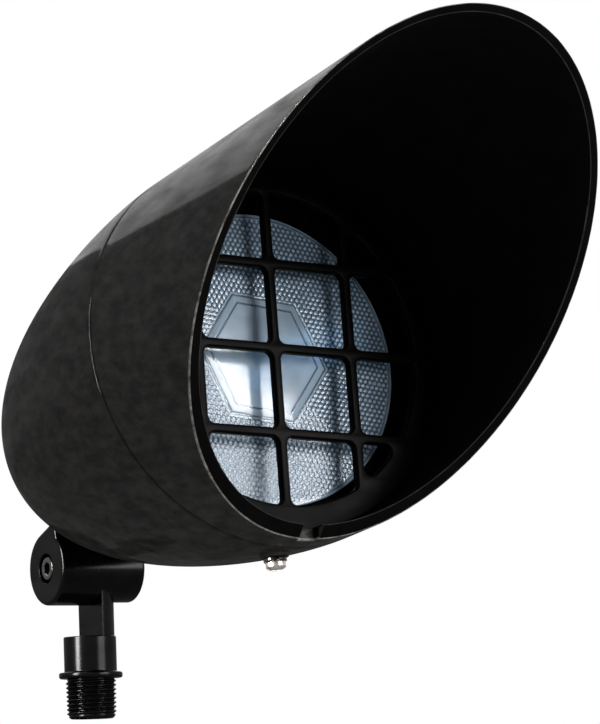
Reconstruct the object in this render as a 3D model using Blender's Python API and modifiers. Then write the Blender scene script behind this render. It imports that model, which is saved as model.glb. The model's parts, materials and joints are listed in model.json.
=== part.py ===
"""Hooded floodlight for a reflector lamp, on a knuckle with a threaded nipple.

The origin is on the nipple's axis, in the plane where the nipple's flange seats. +Z runs up
the stem, the hinge of the knuckle lies along X and the lamp looks towards -Y. The head is
modelled in the frame of its hinge: x as in the world, y up from the lamp's side of the hinge,
z forward along the lamp's axis. Sizes are in metres.
"""
import math

import bmesh
import bpy
import numpy as np
from mathutils import Matrix, Vector

# Fits
FIT = 0.0003                 # clearance between touching pieces
SIDES = 40                   # sides of the large turned pieces
KNUCKLE_SIDES = 32           # sides of the knuckle and the stem
SMALL_SIDES = 16             # sides of the small turned pieces
SCREW_SIDES = 12             # sides of hidden screws and their holes

# Head as a whole
TILT = math.radians(9.3)     # lamp axis above the horizontal, at rest
HOOD_CLOCK = math.radians(-1.1)
GUARD_CLOCK = math.radians(-2.9)
LAMP_CLOCK = math.radians(-7.5)
LAMP_DROP = 0.004            # the lamp and its holder sit this far below the dome's axis

# Lamp, a PAR38 reflector lamp: 120.6 mm across and 135 mm long
LAMP_R = 0.0603
LAMP_LENGTH = 0.135
LENS_SETBACK = 0.0015        # flat hexagon in the middle of the lens, behind the seam
LENS_BULGE = 0.0064
LENS_THICKNESS = 0.0036
LENS_RIM = 0.0045            # height of the rim's band
HEXAGON_R = 0.0243
HEXAGON_BORDER = 0.0038
HEXAGON_RISE = 0.0006
BOWL_STEP = 0.0017           # from the lamp's rim in to the bowl
BOWL_BAND = 0.0022           # height of the bowl's own band at the rim
LAMP_REAR = 0.069            # lamp behind the full depth of its bowl
REFLECTOR_NECK_R = 0.017
REFLECTOR_HOLE_R = 0.007
REFLECTOR_NECK = 0.0115
REFLECTOR_BACK = 0.005       # wall behind the bowl's vertex
CAPSULE_R = 0.0055
CAPSULE_LENGTH = 0.036
CAPSULE_WAIST = 0.003        # slope between the capsule and its foot
SKIRT_WALL = 0.0013
SKIRT_LENGTH = 0.020
SCREW_BASE_R = 0.013         # E26 base
SCREW_BASE_LENGTH = 0.0225
BASE_TAPER = 0.002           # cone at the end of the base
INSULATOR_LENGTH = 0.004
CONTACT_LENGTH = 0.0022
CONTACT_R = 0.0044

# Rear housing
LAMP_ROOM = 0.0191           # from the lamp's rim out to the full radius of the housing
POLE_SETBACK = 0.0112        # pole of the dome, behind the hinge
DOME_LENGTHWISE = 1.49       # exponents of the dome's curve
DOME_ACROSS = 2.39
DOME_WALL = 0.003
DOME_POINTS = 10
LIP_WALL = 0.0044            # housing round the spigot
SEAM_CHAMFER = 0.0006

# Hood
SEAM_GAP = 0.0006
HOOD_DRAFT = 0.0207          # outward lean of the outer wall
HOOD_INNER_DRAFT = 0.0345
LIP_REACH = 0.0161           # lowest point of the rim, forward of the seam
HOOD_CUT_ANGLE = math.radians(45)
SPIGOT_TAIL = 0.0032         # spigot behind the lock groove
SPIGOT_WALL = 0.0032
LEDGE_RISE = 0.0024          # face that the guard sits on, forward of the seam
LEDGE_THICKNESS = 0.004
LEDGE_WIDTH = 0.0062
NOTCH_WIDTH = 0.008
NOTCH_DEPTH = 0.0026

# Seal between the spigot and the housing
O_RING_R = 0.0009            # radius of its section
O_RING_SETBACK = 0.0056      # behind the seam

# Guard
GUARD_THICKNESS = 0.004
GUARD_LAP = 0.0015           # ring of the guard inside the ledge
BAR_PITCH = 0.0345
BAR_WIDTH = 0.0036
CELL_FILLET = 0.003
GUARD_SCREW_R = 0.0012
GUARD_SCREW_EDGE = 0.0029    # from the screw in to the spigot's bore
GUARD_SCREW_HEAD_R = 0.0023
GUARD_SCREW_HEAD = 0.0017
GUARD_SCREW_LENGTH = 0.0048

# Lock screw of the hood
LOCK_SETBACK = 0.0131        # behind the seam
LOCK_BOSS_HEIGHT = 0.0008    # beyond the housing's full radius
LOCK_BOSS_MARGIN = 0.00085   # boss beyond the washer
LOCK_WASHER_MARGIN = 0.00065 # washer beyond the head
LOCK_WASHER = 0.0012
LOCK_SCREW_R = 0.0024
LOCK_HEAD_R = 0.0040
LOCK_HEAD = 0.0032
LOCK_SLOT = 0.0011
LOCK_GROOVE_DEPTH = 0.0019
LOCK_GROOVE_HALF = 0.0023

# Collar round the lamp's rim
COLLAR_LENGTH = 0.0165
COLLAR_LIP = 0.0012          # how far it laps over the lens
COLLAR_LIP_WALL = 0.0016
COLLAR_FLARE = 0.0047
COLLAR_DEPTH = 0.004         # ring's bore inside the lamp's rim, before the seat is cut

# Lampholder
SOCKET_R = 0.0205
SHELL_WALL = 0.0006
SOCKET_FLOOR = 0.003
CONTACT_GAP = 0.0028         # floor of the holder to the lamp's contact
STRIP_WALL = 0.0006
STRIP_WIDTH = 0.005
STRIP_HALF = 0.0034          # half of the folded strip's length
BRACKET_WALL = 0.0015
BRACKET_WIDTH = 0.016
BRACKET_END = 0.006          # bracket beyond its outer holes
BRACKET_CLEAR = 0.00335      # from the bracket's ends to the dome
BRACKET_MIDDLE_R = 0.0074    # hole for the leads
BRACKET_BOSS_R = 0.005
SOCKET_SCREW_EDGE = 0.0031   # from the screw out to the side of the lampholder
SOCKET_SCREW_R = 0.0016
SOCKET_SCREW_DEPTH = 0.007
M4_R = 0.0020
M4_HEAD_R = 0.0035
M4_HEAD = 0.0021
BRACKET_SCREW_DEPTH = 0.009
GROUND_CLEAR = 0.0047        # earth screw beyond the lampholder
GROUND_SPACING = 0.0073      # from the earth screw to the bracket's screw
GROUND_SCREW_R = 0.0015
GROUND_SCREW_DEPTH = 0.004
GROUND_HEAD_R = 0.0027
TERMINAL_WALL = 0.0008
TERMINAL_R = 0.0026
TERMINAL_HALF = 0.0012       # half width of its tongue
TERMINAL_TONGUE = 0.0014     # beyond the bracket's edge

# Leads and their way through the ear
LEAD_R = 0.0012
LEAD_GAP = 0.0002            # between the leads inside the grommet
LEAD_EXIT_X = 0.0055
LEAD_LOOP = 0.0065           # how far the leads swing back behind the bracket
LEAD_DROP = 0.0040           # how far they drop at their first bend
LEAD_END = 0.0052            # leads end this far from the hinge, in the ear's hollow
WIREWAY_X = -0.0052
GROMMET_WALL = 0.0004
GROMMET_LIP = 0.0011         # flange beyond the wireway
GROMMET_FLANGE = 0.0014
GROMMET_BARREL = 0.0040
GROMMET_SPOT = 0.0007        # depth of the spot face under its flange

# Knuckle
ARM_DISC_R = 0.0142          # disc of the lower arm
ARM_CLEARANCE = 0.0004       # between the disc and the dome
EAR_MARGIN = 0.0012          # barrel of the ear beyond the disc
KNUCKLE_HALF = 0.0198        # half of its width along the hinge
KNUCKLE_GAP = 0.0003         # between the two mating faces
KNUCKLE_EDGE = 0.0014
WEB_SLOPE = math.radians(13) # top of the ear's web, rising towards the dome
WEB_SETBACK = 0.0041         # front of the web, behind that of the barrel
SEAL_MARGIN = 0.0022         # from the seal out to the disc's rim
SEAL_SECTION_R = 0.0007
SEAL_GROOVE_DEPTH = 0.0015
HUB_MARGIN = 0.003           # from the hollow round the hinge screw out to the seal
HUB_DEPTH = 0.0088
NECK_LENGTH = 0.0142         # between the sleeve and the disc
NECK_STEP = 0.0006           # neck inside the sleeve
NECK_SETBACK = 0.0005        # neck's flat behind the face of the disc
OVERLAP = 0.0010             # how far joined solids run into each other
SLEEVE_R = 0.0110
SLEEVE_TOP = 0.0175
FLANGE_STEP = 0.0023         # flange beyond the sleeve
FLANGE_HEIGHT = 0.0026
EDGE = 0.0006                # small chamfers
NIPPLE_ROOT_R = 0.0097       # root of the 1/2 inch pipe thread
NIPPLE_LENGTH = 0.0168
NIPPLE_BORE_R = 0.0064
NIPPLE_BORE_END = 0.0045     # solid left above the bore, in the sleeve
NECK_WAY_R = 0.0030
HINGE_SCREW_R = 0.0029
HINGE_HEAD_R = 0.0048
HINGE_HEAD = 0.0050
HINGE_THREAD = 0.0150        # into the lower arm
HEX_KEY_R = 0.0028
HEX_KEY_DEPTH = 0.0026
COUNTERBORE_MARGIN = 0.0014  # beyond the screw's head
HEAD_SINK = 0.0004           # head below the face of the ear
WASHER_WALL = 0.0012
WASHER_MARGIN = 0.0006       # beyond the screw's head
WASHER_SLIT = 0.0010

# Sizes of the head that follow
BODY_R = LAMP_R + LAMP_ROOM
INNER_R = BODY_R - DOME_WALL
GROUND_X = SOCKET_R + GROUND_CLEAR
BRACKET_HOLE_X = GROUND_X + GROUND_SPACING
BRACKET_REACH = BRACKET_HOLE_X + BRACKET_END
BRACKET_BACK = LENS_SETBACK + LAMP_LENGTH + CONTACT_GAP + SOCKET_FLOOR + FIT + BRACKET_WALL
BRACKET_SHARE = (BRACKET_REACH + BRACKET_CLEAR) / INNER_R
INNER_DEPTH = BRACKET_BACK / (1.0 - BRACKET_SHARE ** DOME_ACROSS) ** (1.0 / DOME_LENGTHWISE)
DOME_DEPTH = INNER_DEPTH + DOME_WALL      # from the seam back to the pole
SEAM_Z = DOME_DEPTH - POLE_SETBACK        # seam, forward of the hinge


def dome_radius(z, radius=BODY_R, depth=DOME_DEPTH):
    """Radius of the dome's curve at a height, for its outer or its inner skin."""
    share = min(1.0, max(0.0, (SEAM_Z - z) / depth))
    return radius * (1.0 - share ** DOME_LENGTHWISE) ** (1.0 / DOME_ACROSS)


def clear_rise(gap):
    """Least rise of the lamp axis at which the dome stays a gap away from the hinge, and
    the angle, from straight up, at which the dome comes nearest."""
    best = (0.0, 0.0)
    for angle in np.radians(np.arange(0.0, 90.0, 0.5)):
        rise = dome_radius(gap * math.sin(angle)) + gap * math.cos(angle)
        best = max(best, (rise, angle))
    return best


def hood_radius(z):
    """Outer radius of the hood at a height."""
    return BODY_R + HOOD_DRAFT * (z - SEAM_Z)


# Other sizes that follow
HINGE_Z = SLEEVE_TOP + NECK_LENGTH + ARM_DISC_R
AXIS_RISE, WIREWAY_ANGLE = clear_rise(ARM_DISC_R + ARM_CLEARANCE)
HOLDER_Y = AXIS_RISE - LAMP_DROP
BORE_R = BODY_R - LIP_WALL
SPIGOT_R = BORE_R - FIT
SPIGOT_BORE_R = SPIGOT_R - SPIGOT_WALL
O_RING_Z = SEAM_Z - O_RING_SETBACK
LOCK_Z = SEAM_Z - LOCK_SETBACK
SPIGOT_BACK_Z = LOCK_Z - LOCK_GROOVE_HALF - SPIGOT_TAIL
LIP_Z = SEAM_Z + LIP_REACH
LIP_R = hood_radius(LIP_Z)
HOOD_CUT_Z = LIP_Z + LIP_R * math.tan(HOOD_CUT_ANGLE)   # oblique cut, at the lamp axis
LEDGE_FRONT_Z = SEAM_Z + LEDGE_RISE
LEDGE_INNER_R = SPIGOT_BORE_R - LEDGE_WIDTH
GUARD_OPENING_R = LEDGE_INNER_R - GUARD_LAP
GUARD_SCREW_CIRCLE = SPIGOT_BORE_R - GUARD_SCREW_EDGE
GUARD_BACK_Z = LEDGE_FRONT_Z + FIT
GUARD_FRONT_Z = GUARD_BACK_Z + GUARD_THICKNESS
HOOD_INNER_R = SPIGOT_R - FIT
GUARD_R = HOOD_INNER_R - FIT
LEDGE_BACK_Z = LEDGE_FRONT_Z - LEDGE_THICKNESS
LENS_FRONT_Z = SEAM_Z - LENS_SETBACK
LENS_TOP_Z = LENS_FRONT_Z - HEXAGON_RISE
LENS_RIM_Z = LENS_TOP_Z - LENS_BULGE
LENS_BASE_Z = LENS_RIM_Z - LENS_RIM
BOWL_RIM_Z = LENS_BASE_Z - FIT
BOWL_R = LAMP_R - BOWL_STEP
BOWL_DEPTH = LAMP_LENGTH - LAMP_REAR
REFLECTOR_FOCUS = BOWL_R ** 2 / (4 * BOWL_DEPTH)
BOWL_VERTEX_Z = BOWL_RIM_Z - BOWL_DEPTH
NECK_TOP_Z = BOWL_VERTEX_Z - REFLECTOR_BACK + REFLECTOR_NECK_R ** 2 / (4 * REFLECTOR_FOCUS)
NECK_BASE_Z = NECK_TOP_Z - REFLECTOR_NECK
LAMP_END_Z = LENS_FRONT_Z - LAMP_LENGTH
INSULATOR_TOP_Z = LAMP_END_Z + CONTACT_LENGTH + FIT + INSULATOR_LENGTH
SCREW_END_Z = INSULATOR_TOP_Z + FIT
SOCKET_FLOOR_Z = LAMP_END_Z - CONTACT_GAP
SOCKET_BACK_Z = SOCKET_FLOOR_Z - SOCKET_FLOOR
SOCKET_TOP_Z = SCREW_END_Z + SCREW_BASE_LENGTH - 2 * FIT
SOCKET_BORE_R = SCREW_BASE_R + FIT + SHELL_WALL + FIT
BRACKET_Z = SOCKET_BACK_Z - FIT - BRACKET_WALL
BOSS_TOP_Z = BRACKET_Z - FIT
SOCKET_SCREW_X = SOCKET_R - SOCKET_SCREW_EDGE
LEAD_SPREAD = 2 * LEAD_R / math.sqrt(3) + LEAD_GAP      # the three leads lie on this radius
GROMMET_BORE_R = LEAD_SPREAD + LEAD_R + FIT
WIREWAY_R = GROMMET_BORE_R + GROMMET_WALL + FIT
GROMMET_FLANGE_R = WIREWAY_R + GROMMET_LIP
GROMMET_SEAT = ARM_DISC_R + ARM_CLEARANCE + DOME_WALL - GROMMET_SPOT
LOCK_WASHER_R = LOCK_HEAD_R + LOCK_WASHER_MARGIN
LOCK_BOSS_R = LOCK_WASHER_R + LOCK_BOSS_MARGIN
LOCK_SEAT_R = BODY_R + LOCK_BOSS_HEIGHT + FIT
EAR_FACE_X = -KNUCKLE_GAP / 2
ARM_FACE_X = KNUCKLE_GAP / 2
EAR_R = ARM_DISC_R + EAR_MARGIN
WEB_REACH = EAR_R - WEB_SETBACK
SEAL_R = ARM_DISC_R - SEAL_MARGIN
HUB_R = SEAL_R - HUB_MARGIN
NECK_R = SLEEVE_R - NECK_STEP
NECK_WAY_X = (ARM_FACE_X + NECK_SETBACK + NECK_R) / 2
FLANGE_R = SLEEVE_R + FLANGE_STEP
NIPPLE_BORE_TOP = SLEEVE_TOP - NIPPLE_BORE_END
COUNTERBORE_R = HINGE_HEAD_R + COUNTERBORE_MARGIN
COUNTERBORE_DEPTH = HINGE_HEAD + WASHER_WALL + 2 * FIT + HEAD_SINK
WASHER_R = HINGE_HEAD_R + WASHER_MARGIN
WASHER_X = -KNUCKLE_HALF + COUNTERBORE_DEPTH - FIT
HINGE_HEAD_X = WASHER_X - WASHER_WALL - FIT


def clear_scene():
    """Remove every object, so that the script can be run again."""
    for obj in list(bpy.data.objects):
        bpy.data.objects.remove(obj, do_unlink=True)
    for name in ("floodlight", "cutters"):
        if name in bpy.data.collections:
            bpy.data.collections.remove(bpy.data.collections[name])


def make_collection(name):
    """Add a collection to the scene."""
    group = bpy.data.collections.new(name)
    bpy.context.scene.collection.children.link(group)
    return group


def finish(name, colour, roughness, metallic):
    """A plain material with the piece's colour, roughness and metal value."""
    material = bpy.data.materials.new(name)
    material.use_nodes = True
    shader = material.node_tree.nodes["Principled BSDF"]
    shader.inputs["Base Color"].default_value = (*colour, 1.0)
    shader.inputs["Roughness"].default_value = roughness
    shader.inputs["Metallic"].default_value = metallic
    material.diffuse_color = (*colour, 1.0)
    return material


def add_mesh(name, verts, edges, faces, material=None, parent=None, group=None):
    """A new object from vertices, with its material and parent."""
    mesh = bpy.data.meshes.new(name)
    mesh.from_pydata([tuple(v) for v in verts], edges, faces)
    mesh.update()
    return add_object(name, mesh, material, parent, group)


def add_object(name, mesh, material=None, parent=None, group=None):
    """A new object that carries a mesh, in the parts or the cutters."""
    obj = bpy.data.objects.new(name, mesh)
    (group or PARTS).objects.link(obj)
    obj.parent = parent
    if material:
        mesh.materials.append(material)
    if group is CUTTERS:
        obj.hide_render = True
        obj.display_type = "WIRE"
    return obj


def frame_at(name, parent, location, rotation=(0, 0, 0)):
    """An empty that carries pieces."""
    empty = bpy.data.objects.new(name, None)
    PARTS.objects.link(empty)
    empty.parent = parent
    empty.location = location
    empty.rotation_euler = rotation
    return empty


def turned(name, profile, material=None, parent=None, sides=SIDES, closed=False, group=None):
    """A turned piece: (radius, z) points down its outer side, spun about its own z axis."""
    points = [(r, 0.0, z) for r, z in profile]
    count = len(points)
    edges = [(i, i + 1) for i in range(count - 1)]
    if closed:
        edges.append((count - 1, 0))
    obj = add_mesh(name, points, edges, [], material, parent, group)
    spin = obj.modifiers.new("turn", "SCREW")
    spin.axis = "Z"
    spin.angle = 2 * math.pi
    spin.steps = sides
    spin.render_steps = sides
    spin.use_merge_vertices = True
    spin.merge_threshold = 0.00001
    spin.use_smooth_shade = True
    return obj


def cylinder(name, radius, start, end, material=None, parent=None, sides=SMALL_SIDES,
             group=None, end_radius=None):
    """A cylinder or cone between two points, with its ends capped."""
    start = Vector(start)
    end = Vector(end)
    axis = end - start
    far_radius = radius if end_radius is None else end_radius
    shape = bmesh.new()
    bmesh.ops.create_cone(shape, cap_ends=True, segments=sides, radius1=radius,
                          radius2=far_radius, depth=axis.length)
    mesh = bpy.data.meshes.new(name)
    shape.to_mesh(mesh)
    shape.free()
    turn = axis.to_track_quat("Z", "Y").to_matrix().to_4x4()
    mesh.transform(Matrix.Translation((start + end) / 2) @ turn)
    return add_object(name, mesh, material, parent, group)


def block(name, low, high, material=None, parent=None, group=None):
    """A box between its lowest and highest corners."""
    low = Vector(low)
    high = Vector(high)
    shape = bmesh.new()
    bmesh.ops.create_cube(shape, size=1.0)
    mesh = bpy.data.meshes.new(name)
    shape.to_mesh(mesh)
    shape.free()
    size = high - low
    mesh.transform(Matrix.Translation((low + high) / 2) @ Matrix.Diagonal((*size, 1.0)))
    return add_object(name, mesh, material, parent, group)


def combine(obj, other, operation):
    """Join another solid to a piece, or cut it away, with a Boolean modifier."""
    step = obj.modifiers.new(other.name, "BOOLEAN")
    step.operation = operation
    step.object = other
    step.solver = "EXACT"


def cut(obj, *others):
    """Cut solids away from a piece."""
    for other in others:
        combine(obj, other, "DIFFERENCE")


def join(obj, *others):
    """Join solids to a piece."""
    for other in others:
        combine(obj, other, "UNION")


def smooth(obj, angle=math.radians(35)):
    """Shade a piece smooth except across its sharp edges."""
    obj.data.shade_smooth()
    obj.data.set_sharp_from_angle(angle=angle)


def mesh_from_curve(obj):
    """Turn a curve object into a mesh object of the same name, with its caps welded on."""
    name = obj.name
    graph = bpy.context.evaluated_depsgraph_get()
    mesh = bpy.data.meshes.new_from_object(obj.evaluated_get(graph))
    shape = bmesh.new()
    shape.from_mesh(mesh)
    bmesh.ops.remove_doubles(shape, verts=shape.verts, dist=0.000001)
    bmesh.ops.recalc_face_normals(shape, faces=shape.faces)
    shape.to_mesh(mesh)
    shape.free()
    parent = obj.parent
    group = obj.users_collection[0]
    local = obj.matrix_basis.copy()
    bpy.data.objects.remove(obj, do_unlink=True)
    solid = add_object(name, mesh, None, parent, group)
    solid.matrix_basis = local
    return solid


def plate(name, outlines, z_low, z_high, material=None, parent=None, group=None):
    """A flat plate from closed outlines, holes among them, between two heights."""
    curve = bpy.data.curves.new(name, "CURVE")
    curve.dimensions = "2D"
    curve.fill_mode = "BOTH"
    curve.extrude = (z_high - z_low) / 2
    for outline in outlines:
        spline = curve.splines.new("POLY")
        spline.points.add(len(outline) - 1)
        for point, (x, y) in zip(spline.points, outline):
            point.co = (x, y, 0.0, 1.0)
        spline.use_cyclic_u = True
    obj = bpy.data.objects.new(name, curve)
    (group or PARTS).objects.link(obj)
    obj.parent = parent
    obj.location = (0.0, 0.0, (z_low + z_high) / 2)
    solid = mesh_from_curve(obj)
    if material:
        solid.data.materials.append(material)
    return solid


def turn_point(point, angle):
    """A point of an outline, turned about the outline's centre."""
    x, y = point
    return x * math.cos(angle) - y * math.sin(angle), x * math.sin(angle) + y * math.cos(angle)


def arc(centre, radius, start, end, steps):
    """Points of an arc, from its start angle to its end angle."""
    angles = np.linspace(start, end, steps + 1)
    return [(centre[0] + radius * math.cos(a), centre[1] + radius * math.sin(a)) for a in angles]


def circle(radius, sides, centre=(0.0, 0.0)):
    """Points of a full circle."""
    return arc(centre, radius, 0.0, 2 * math.pi, sides)[:-1]


def dome_height(radius_share, depth):
    """Height on the dome's curve at a share of its full radius."""
    return SEAM_Z - depth * (1.0 - radius_share ** DOME_ACROSS) ** (1.0 / DOME_LENGTHWISE)


def dome_curve(radius, depth, start_z, count=DOME_POINTS):
    """Points down the dome from a height to its pole, closer together where it bends."""
    first = math.asin(min(1.0, dome_radius(start_z, radius, depth) / radius))
    points = []
    for angle in np.linspace(first, 0.0, count):
        share = math.sin(angle)
        points.append((radius * share, dome_height(share, depth)))
    return points


def hood_inner_radius(z):
    """Inner radius of the hood in front of the guard."""
    return HOOD_INNER_R + HOOD_INNER_DRAFT * (z - GUARD_FRONT_Z)


def bowl_radius(z, behind=0.0):
    """Radius of the reflector's parabola, or of the same curve moved back for its outside."""
    return math.sqrt(max(0.0, 4 * REFLECTOR_FOCUS * (z - BOWL_VERTEX_Z + behind)))


def web_outline():
    """Side view of the ear's web in (z, y): from the top of its barrel forward to the dome."""
    start_r = EAR_R - OVERLAP / 5
    start = (-start_r * math.sin(WEB_SLOPE), start_r * math.cos(WEB_SLOPE))
    top_y = start[1] + (WEB_REACH - start[0]) * math.tan(WEB_SLOPE)
    return [(0.0, 0.0), start, (WEB_REACH, top_y), (WEB_REACH, 0.0)]


def side_plate(name, outline, x_low, x_high, parent, group):
    """A plate whose outline is drawn in (z, y) and which runs along x."""
    flat = [(-z, y) for z, y in outline]
    obj = plate(name, [flat], x_low, x_high, None, parent, group)
    obj.data.transform(obj.matrix_basis)
    obj.matrix_basis = Matrix.Identity(4)
    obj.data.transform(Matrix.Rotation(math.radians(90), 4, "Y"))
    return obj


def barrel_profile(radius, far):
    """Outer side of a knuckle half, from its rounded outer end down to the mating face."""
    corner = (radius - KNUCKLE_EDGE, KNUCKLE_HALF - KNUCKLE_EDGE)
    return arc(corner, KNUCKLE_EDGE, math.pi / 2, 0.0, 3) + [(radius, far)]


def lay_along_x(obj, side):
    """Turn a piece so that its own z axis runs along x, outwards on the side given."""
    obj.rotation_euler = (0, side * math.radians(90), 0)


def make_ear(pivot, mid_wall):
    """Ear of the knuckle: a barrel with counterbore, bore and hollow, and a web to the dome."""
    face = -EAR_FACE_X
    floor = KNUCKLE_HALF - COUNTERBORE_DEPTH
    bore = HINGE_SCREW_R + FIT
    hub = face + HUB_DEPTH
    profile = barrel_profile(EAR_R, face)
    profile += [(HUB_R, face), (HUB_R, hub), (bore, hub), (bore, floor),
                (COUNTERBORE_R, floor), (COUNTERBORE_R, KNUCKLE_HALF)]
    barrel = turned("ear_barrel", profile, None, pivot, KNUCKLE_SIDES, True, CUTTERS)
    lay_along_x(barrel, -1)
    web = side_plate("ear_web", web_outline(), KNUCKLE_EDGE - KNUCKLE_HALF, EAR_FACE_X - FIT,
                     pivot, CUTTERS)
    reach = 2 * KNUCKLE_HALF
    cut(web, cylinder("ear_room", EAR_R - OVERLAP, (-reach, 0, 0), (reach, 0, 0), None, pivot,
                      KNUCKLE_SIDES, CUTTERS))
    cut(web, mid_wall)
    return barrel, web


def make_rear_housing(pivot, axis, lamp, material):
    """Dome casting with the ear of the knuckle, the lock boss and two bracket bosses."""
    register_z = SPIGOT_BACK_Z - 2 * FIT
    start_z = min(dome_height(min(1.0, BORE_R / INNER_R), INNER_DEPTH), register_z)
    inner = dome_curve(INNER_R, INNER_DEPTH, start_z - FIT, DOME_POINTS - 2)[::-1]
    lip = [(BORE_R, start_z), (BORE_R, SEAM_Z), (BODY_R - SEAM_CHAMFER, SEAM_Z)]
    outer = dome_curve(BODY_R, DOME_DEPTH, SEAM_Z - SEAM_CHAMFER)
    shell = turned("rear_housing", inner + lip + outer, material, axis)
    half_wall = DOME_WALL / 2
    mid_curve = dome_curve(BODY_R - half_wall, DOME_DEPTH - half_wall, LOCK_Z)
    mid_wall = turned("mid_wall", [(0.0, LOCK_Z)] + mid_curve, None, axis, SIDES, False, CUTTERS)

    join(shell, *make_ear(pivot, mid_wall))
    boss_end = BODY_R + LOCK_BOSS_HEIGHT
    join(shell, cylinder("lock_boss", LOCK_BOSS_R, (0, -boss_end, LOCK_Z),
                         (0, OVERLAP - BODY_R, LOCK_Z), None, axis, SMALL_SIDES, CUTTERS))
    cut(shell, cylinder("lock_hole", LOCK_SCREW_R + FIT, (0, -boss_end - OVERLAP, LOCK_Z),
                        (0, 2 * OVERLAP - BORE_R, LOCK_Z), None, axis, SCREW_SIDES, CUTTERS))
    for side in (-1, 1):
        x = side * BRACKET_HOLE_X
        foot = cylinder(f"bracket_boss_{side}", BRACKET_BOSS_R, (x, 0, -BODY_R), (x, 0, BOSS_TOP_Z),
                        None, lamp, SMALL_SIDES, CUTTERS)
        combine(foot, mid_wall, "INTERSECT")
        join(shell, foot)
        cut(shell, cylinder(f"bracket_hole_{side}", M4_R + FIT,
                            (x, 0, BOSS_TOP_Z - BRACKET_SCREW_DEPTH - 2 * FIT),
                            (x, 0, BOSS_TOP_Z + OVERLAP), None, lamp, SCREW_SIDES, CUTTERS))
    way = frame_at("wireway_axis", pivot, (WIREWAY_X, 0, 0), (WIREWAY_ANGLE - math.pi / 2, 0, 0))
    cut(shell, cylinder("wireway", WIREWAY_R, (0, 0, HUB_R - 2 * OVERLAP),
                        (0, 0, GROMMET_SEAT + OVERLAP), None, way, SMALL_SIDES, CUTTERS))
    cut(shell, cylinder("grommet_seat", GROMMET_FLANGE_R + FIT, (0, 0, GROMMET_SEAT),
                        (0, 0, GROMMET_SEAT + 3 * OVERLAP), None, way, SMALL_SIDES, CUTTERS))
    return way


def make_hood(axis, material):
    """Hood casting: drafted tube cut obliquely, guard ledge, spigot, grooves and drain notch."""
    far_z = 2 * HOOD_CUT_Z - SEAM_Z
    rear_z = SEAM_Z + SEAM_GAP
    groove = O_RING_R + FIT
    groove_floor = BORE_R - 2 * O_RING_R - 2 * FIT
    profile = [
        (hood_radius(far_z), far_z),
        (hood_radius(rear_z + SEAM_CHAMFER), rear_z + SEAM_CHAMFER),
        (hood_radius(rear_z) - SEAM_CHAMFER, rear_z),
        (SPIGOT_R, rear_z),
        (SPIGOT_R, O_RING_Z + groove),
        (groove_floor, O_RING_Z + groove),
        (groove_floor, O_RING_Z - groove),
        (SPIGOT_R, O_RING_Z - groove),
        (SPIGOT_R, LOCK_Z + LOCK_GROOVE_HALF),
        (SPIGOT_R - LOCK_GROOVE_DEPTH, LOCK_Z),
        (SPIGOT_R, LOCK_Z - LOCK_GROOVE_HALF),
        (SPIGOT_R, SPIGOT_BACK_Z + EDGE),
        (SPIGOT_R - EDGE, SPIGOT_BACK_Z),
        (SPIGOT_BORE_R, SPIGOT_BACK_Z),
        (SPIGOT_BORE_R, LEDGE_BACK_Z),
        (LEDGE_INNER_R, LEDGE_BACK_Z),
        (LEDGE_INNER_R, LEDGE_FRONT_Z),
        (HOOD_INNER_R, LEDGE_FRONT_Z),
        (HOOD_INNER_R, GUARD_FRONT_Z),
        (hood_inner_radius(far_z), far_z),
    ]
    hood = turned("front_hood", profile, material, axis, SIDES, True)
    hood.rotation_euler = (0, 0, HOOD_CLOCK)
    size = 2 * far_z
    slab = block("hood_cut", (-size, -size, 0), (size, size, size), None, hood, CUTTERS)
    slab.location = (0, 0, HOOD_CUT_Z)
    slab.rotation_euler = (HOOD_CUT_ANGLE, 0, 0)
    cut(hood, slab)
    notch = block("drain_notch", (-NOTCH_WIDTH / 2, -LIP_R - OVERLAP, LIP_Z - NOTCH_DEPTH),
                  (NOTCH_WIDTH / 2, 3 * OVERLAP - HOOD_INNER_R, LIP_Z + NOTCH_WIDTH), None, hood,
                  CUTTERS)
    cut(hood, notch)
    for index in range(3):
        x, y = guard_screw_place(index)
        head = GUARD_SCREW_HEAD + 2 * FIT
        cut(hood, cylinder(f"guard_head_pocket_{index}", GUARD_SCREW_HEAD_R + FIT,
                           (x, y, LEDGE_BACK_Z - 4 * FIT), (x, y, LEDGE_BACK_Z + head),
                           None, hood, SCREW_SIDES, CUTTERS))
        cut(hood, cylinder(f"guard_screw_hole_{index}", GUARD_SCREW_R + FIT,
                           (x, y, LEDGE_BACK_Z - FIT), (x, y, LEDGE_FRONT_Z + FIT / 2),
                           None, hood, SCREW_SIDES, CUTTERS))
    return hood


def guard_screw_place(index):
    """Place of a guard screw on its circle, in the frame of the hood."""
    angle = math.radians(90 + 120 * index)
    return GUARD_SCREW_CIRCLE * math.cos(angle), GUARD_SCREW_CIRCLE * math.sin(angle)


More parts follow.
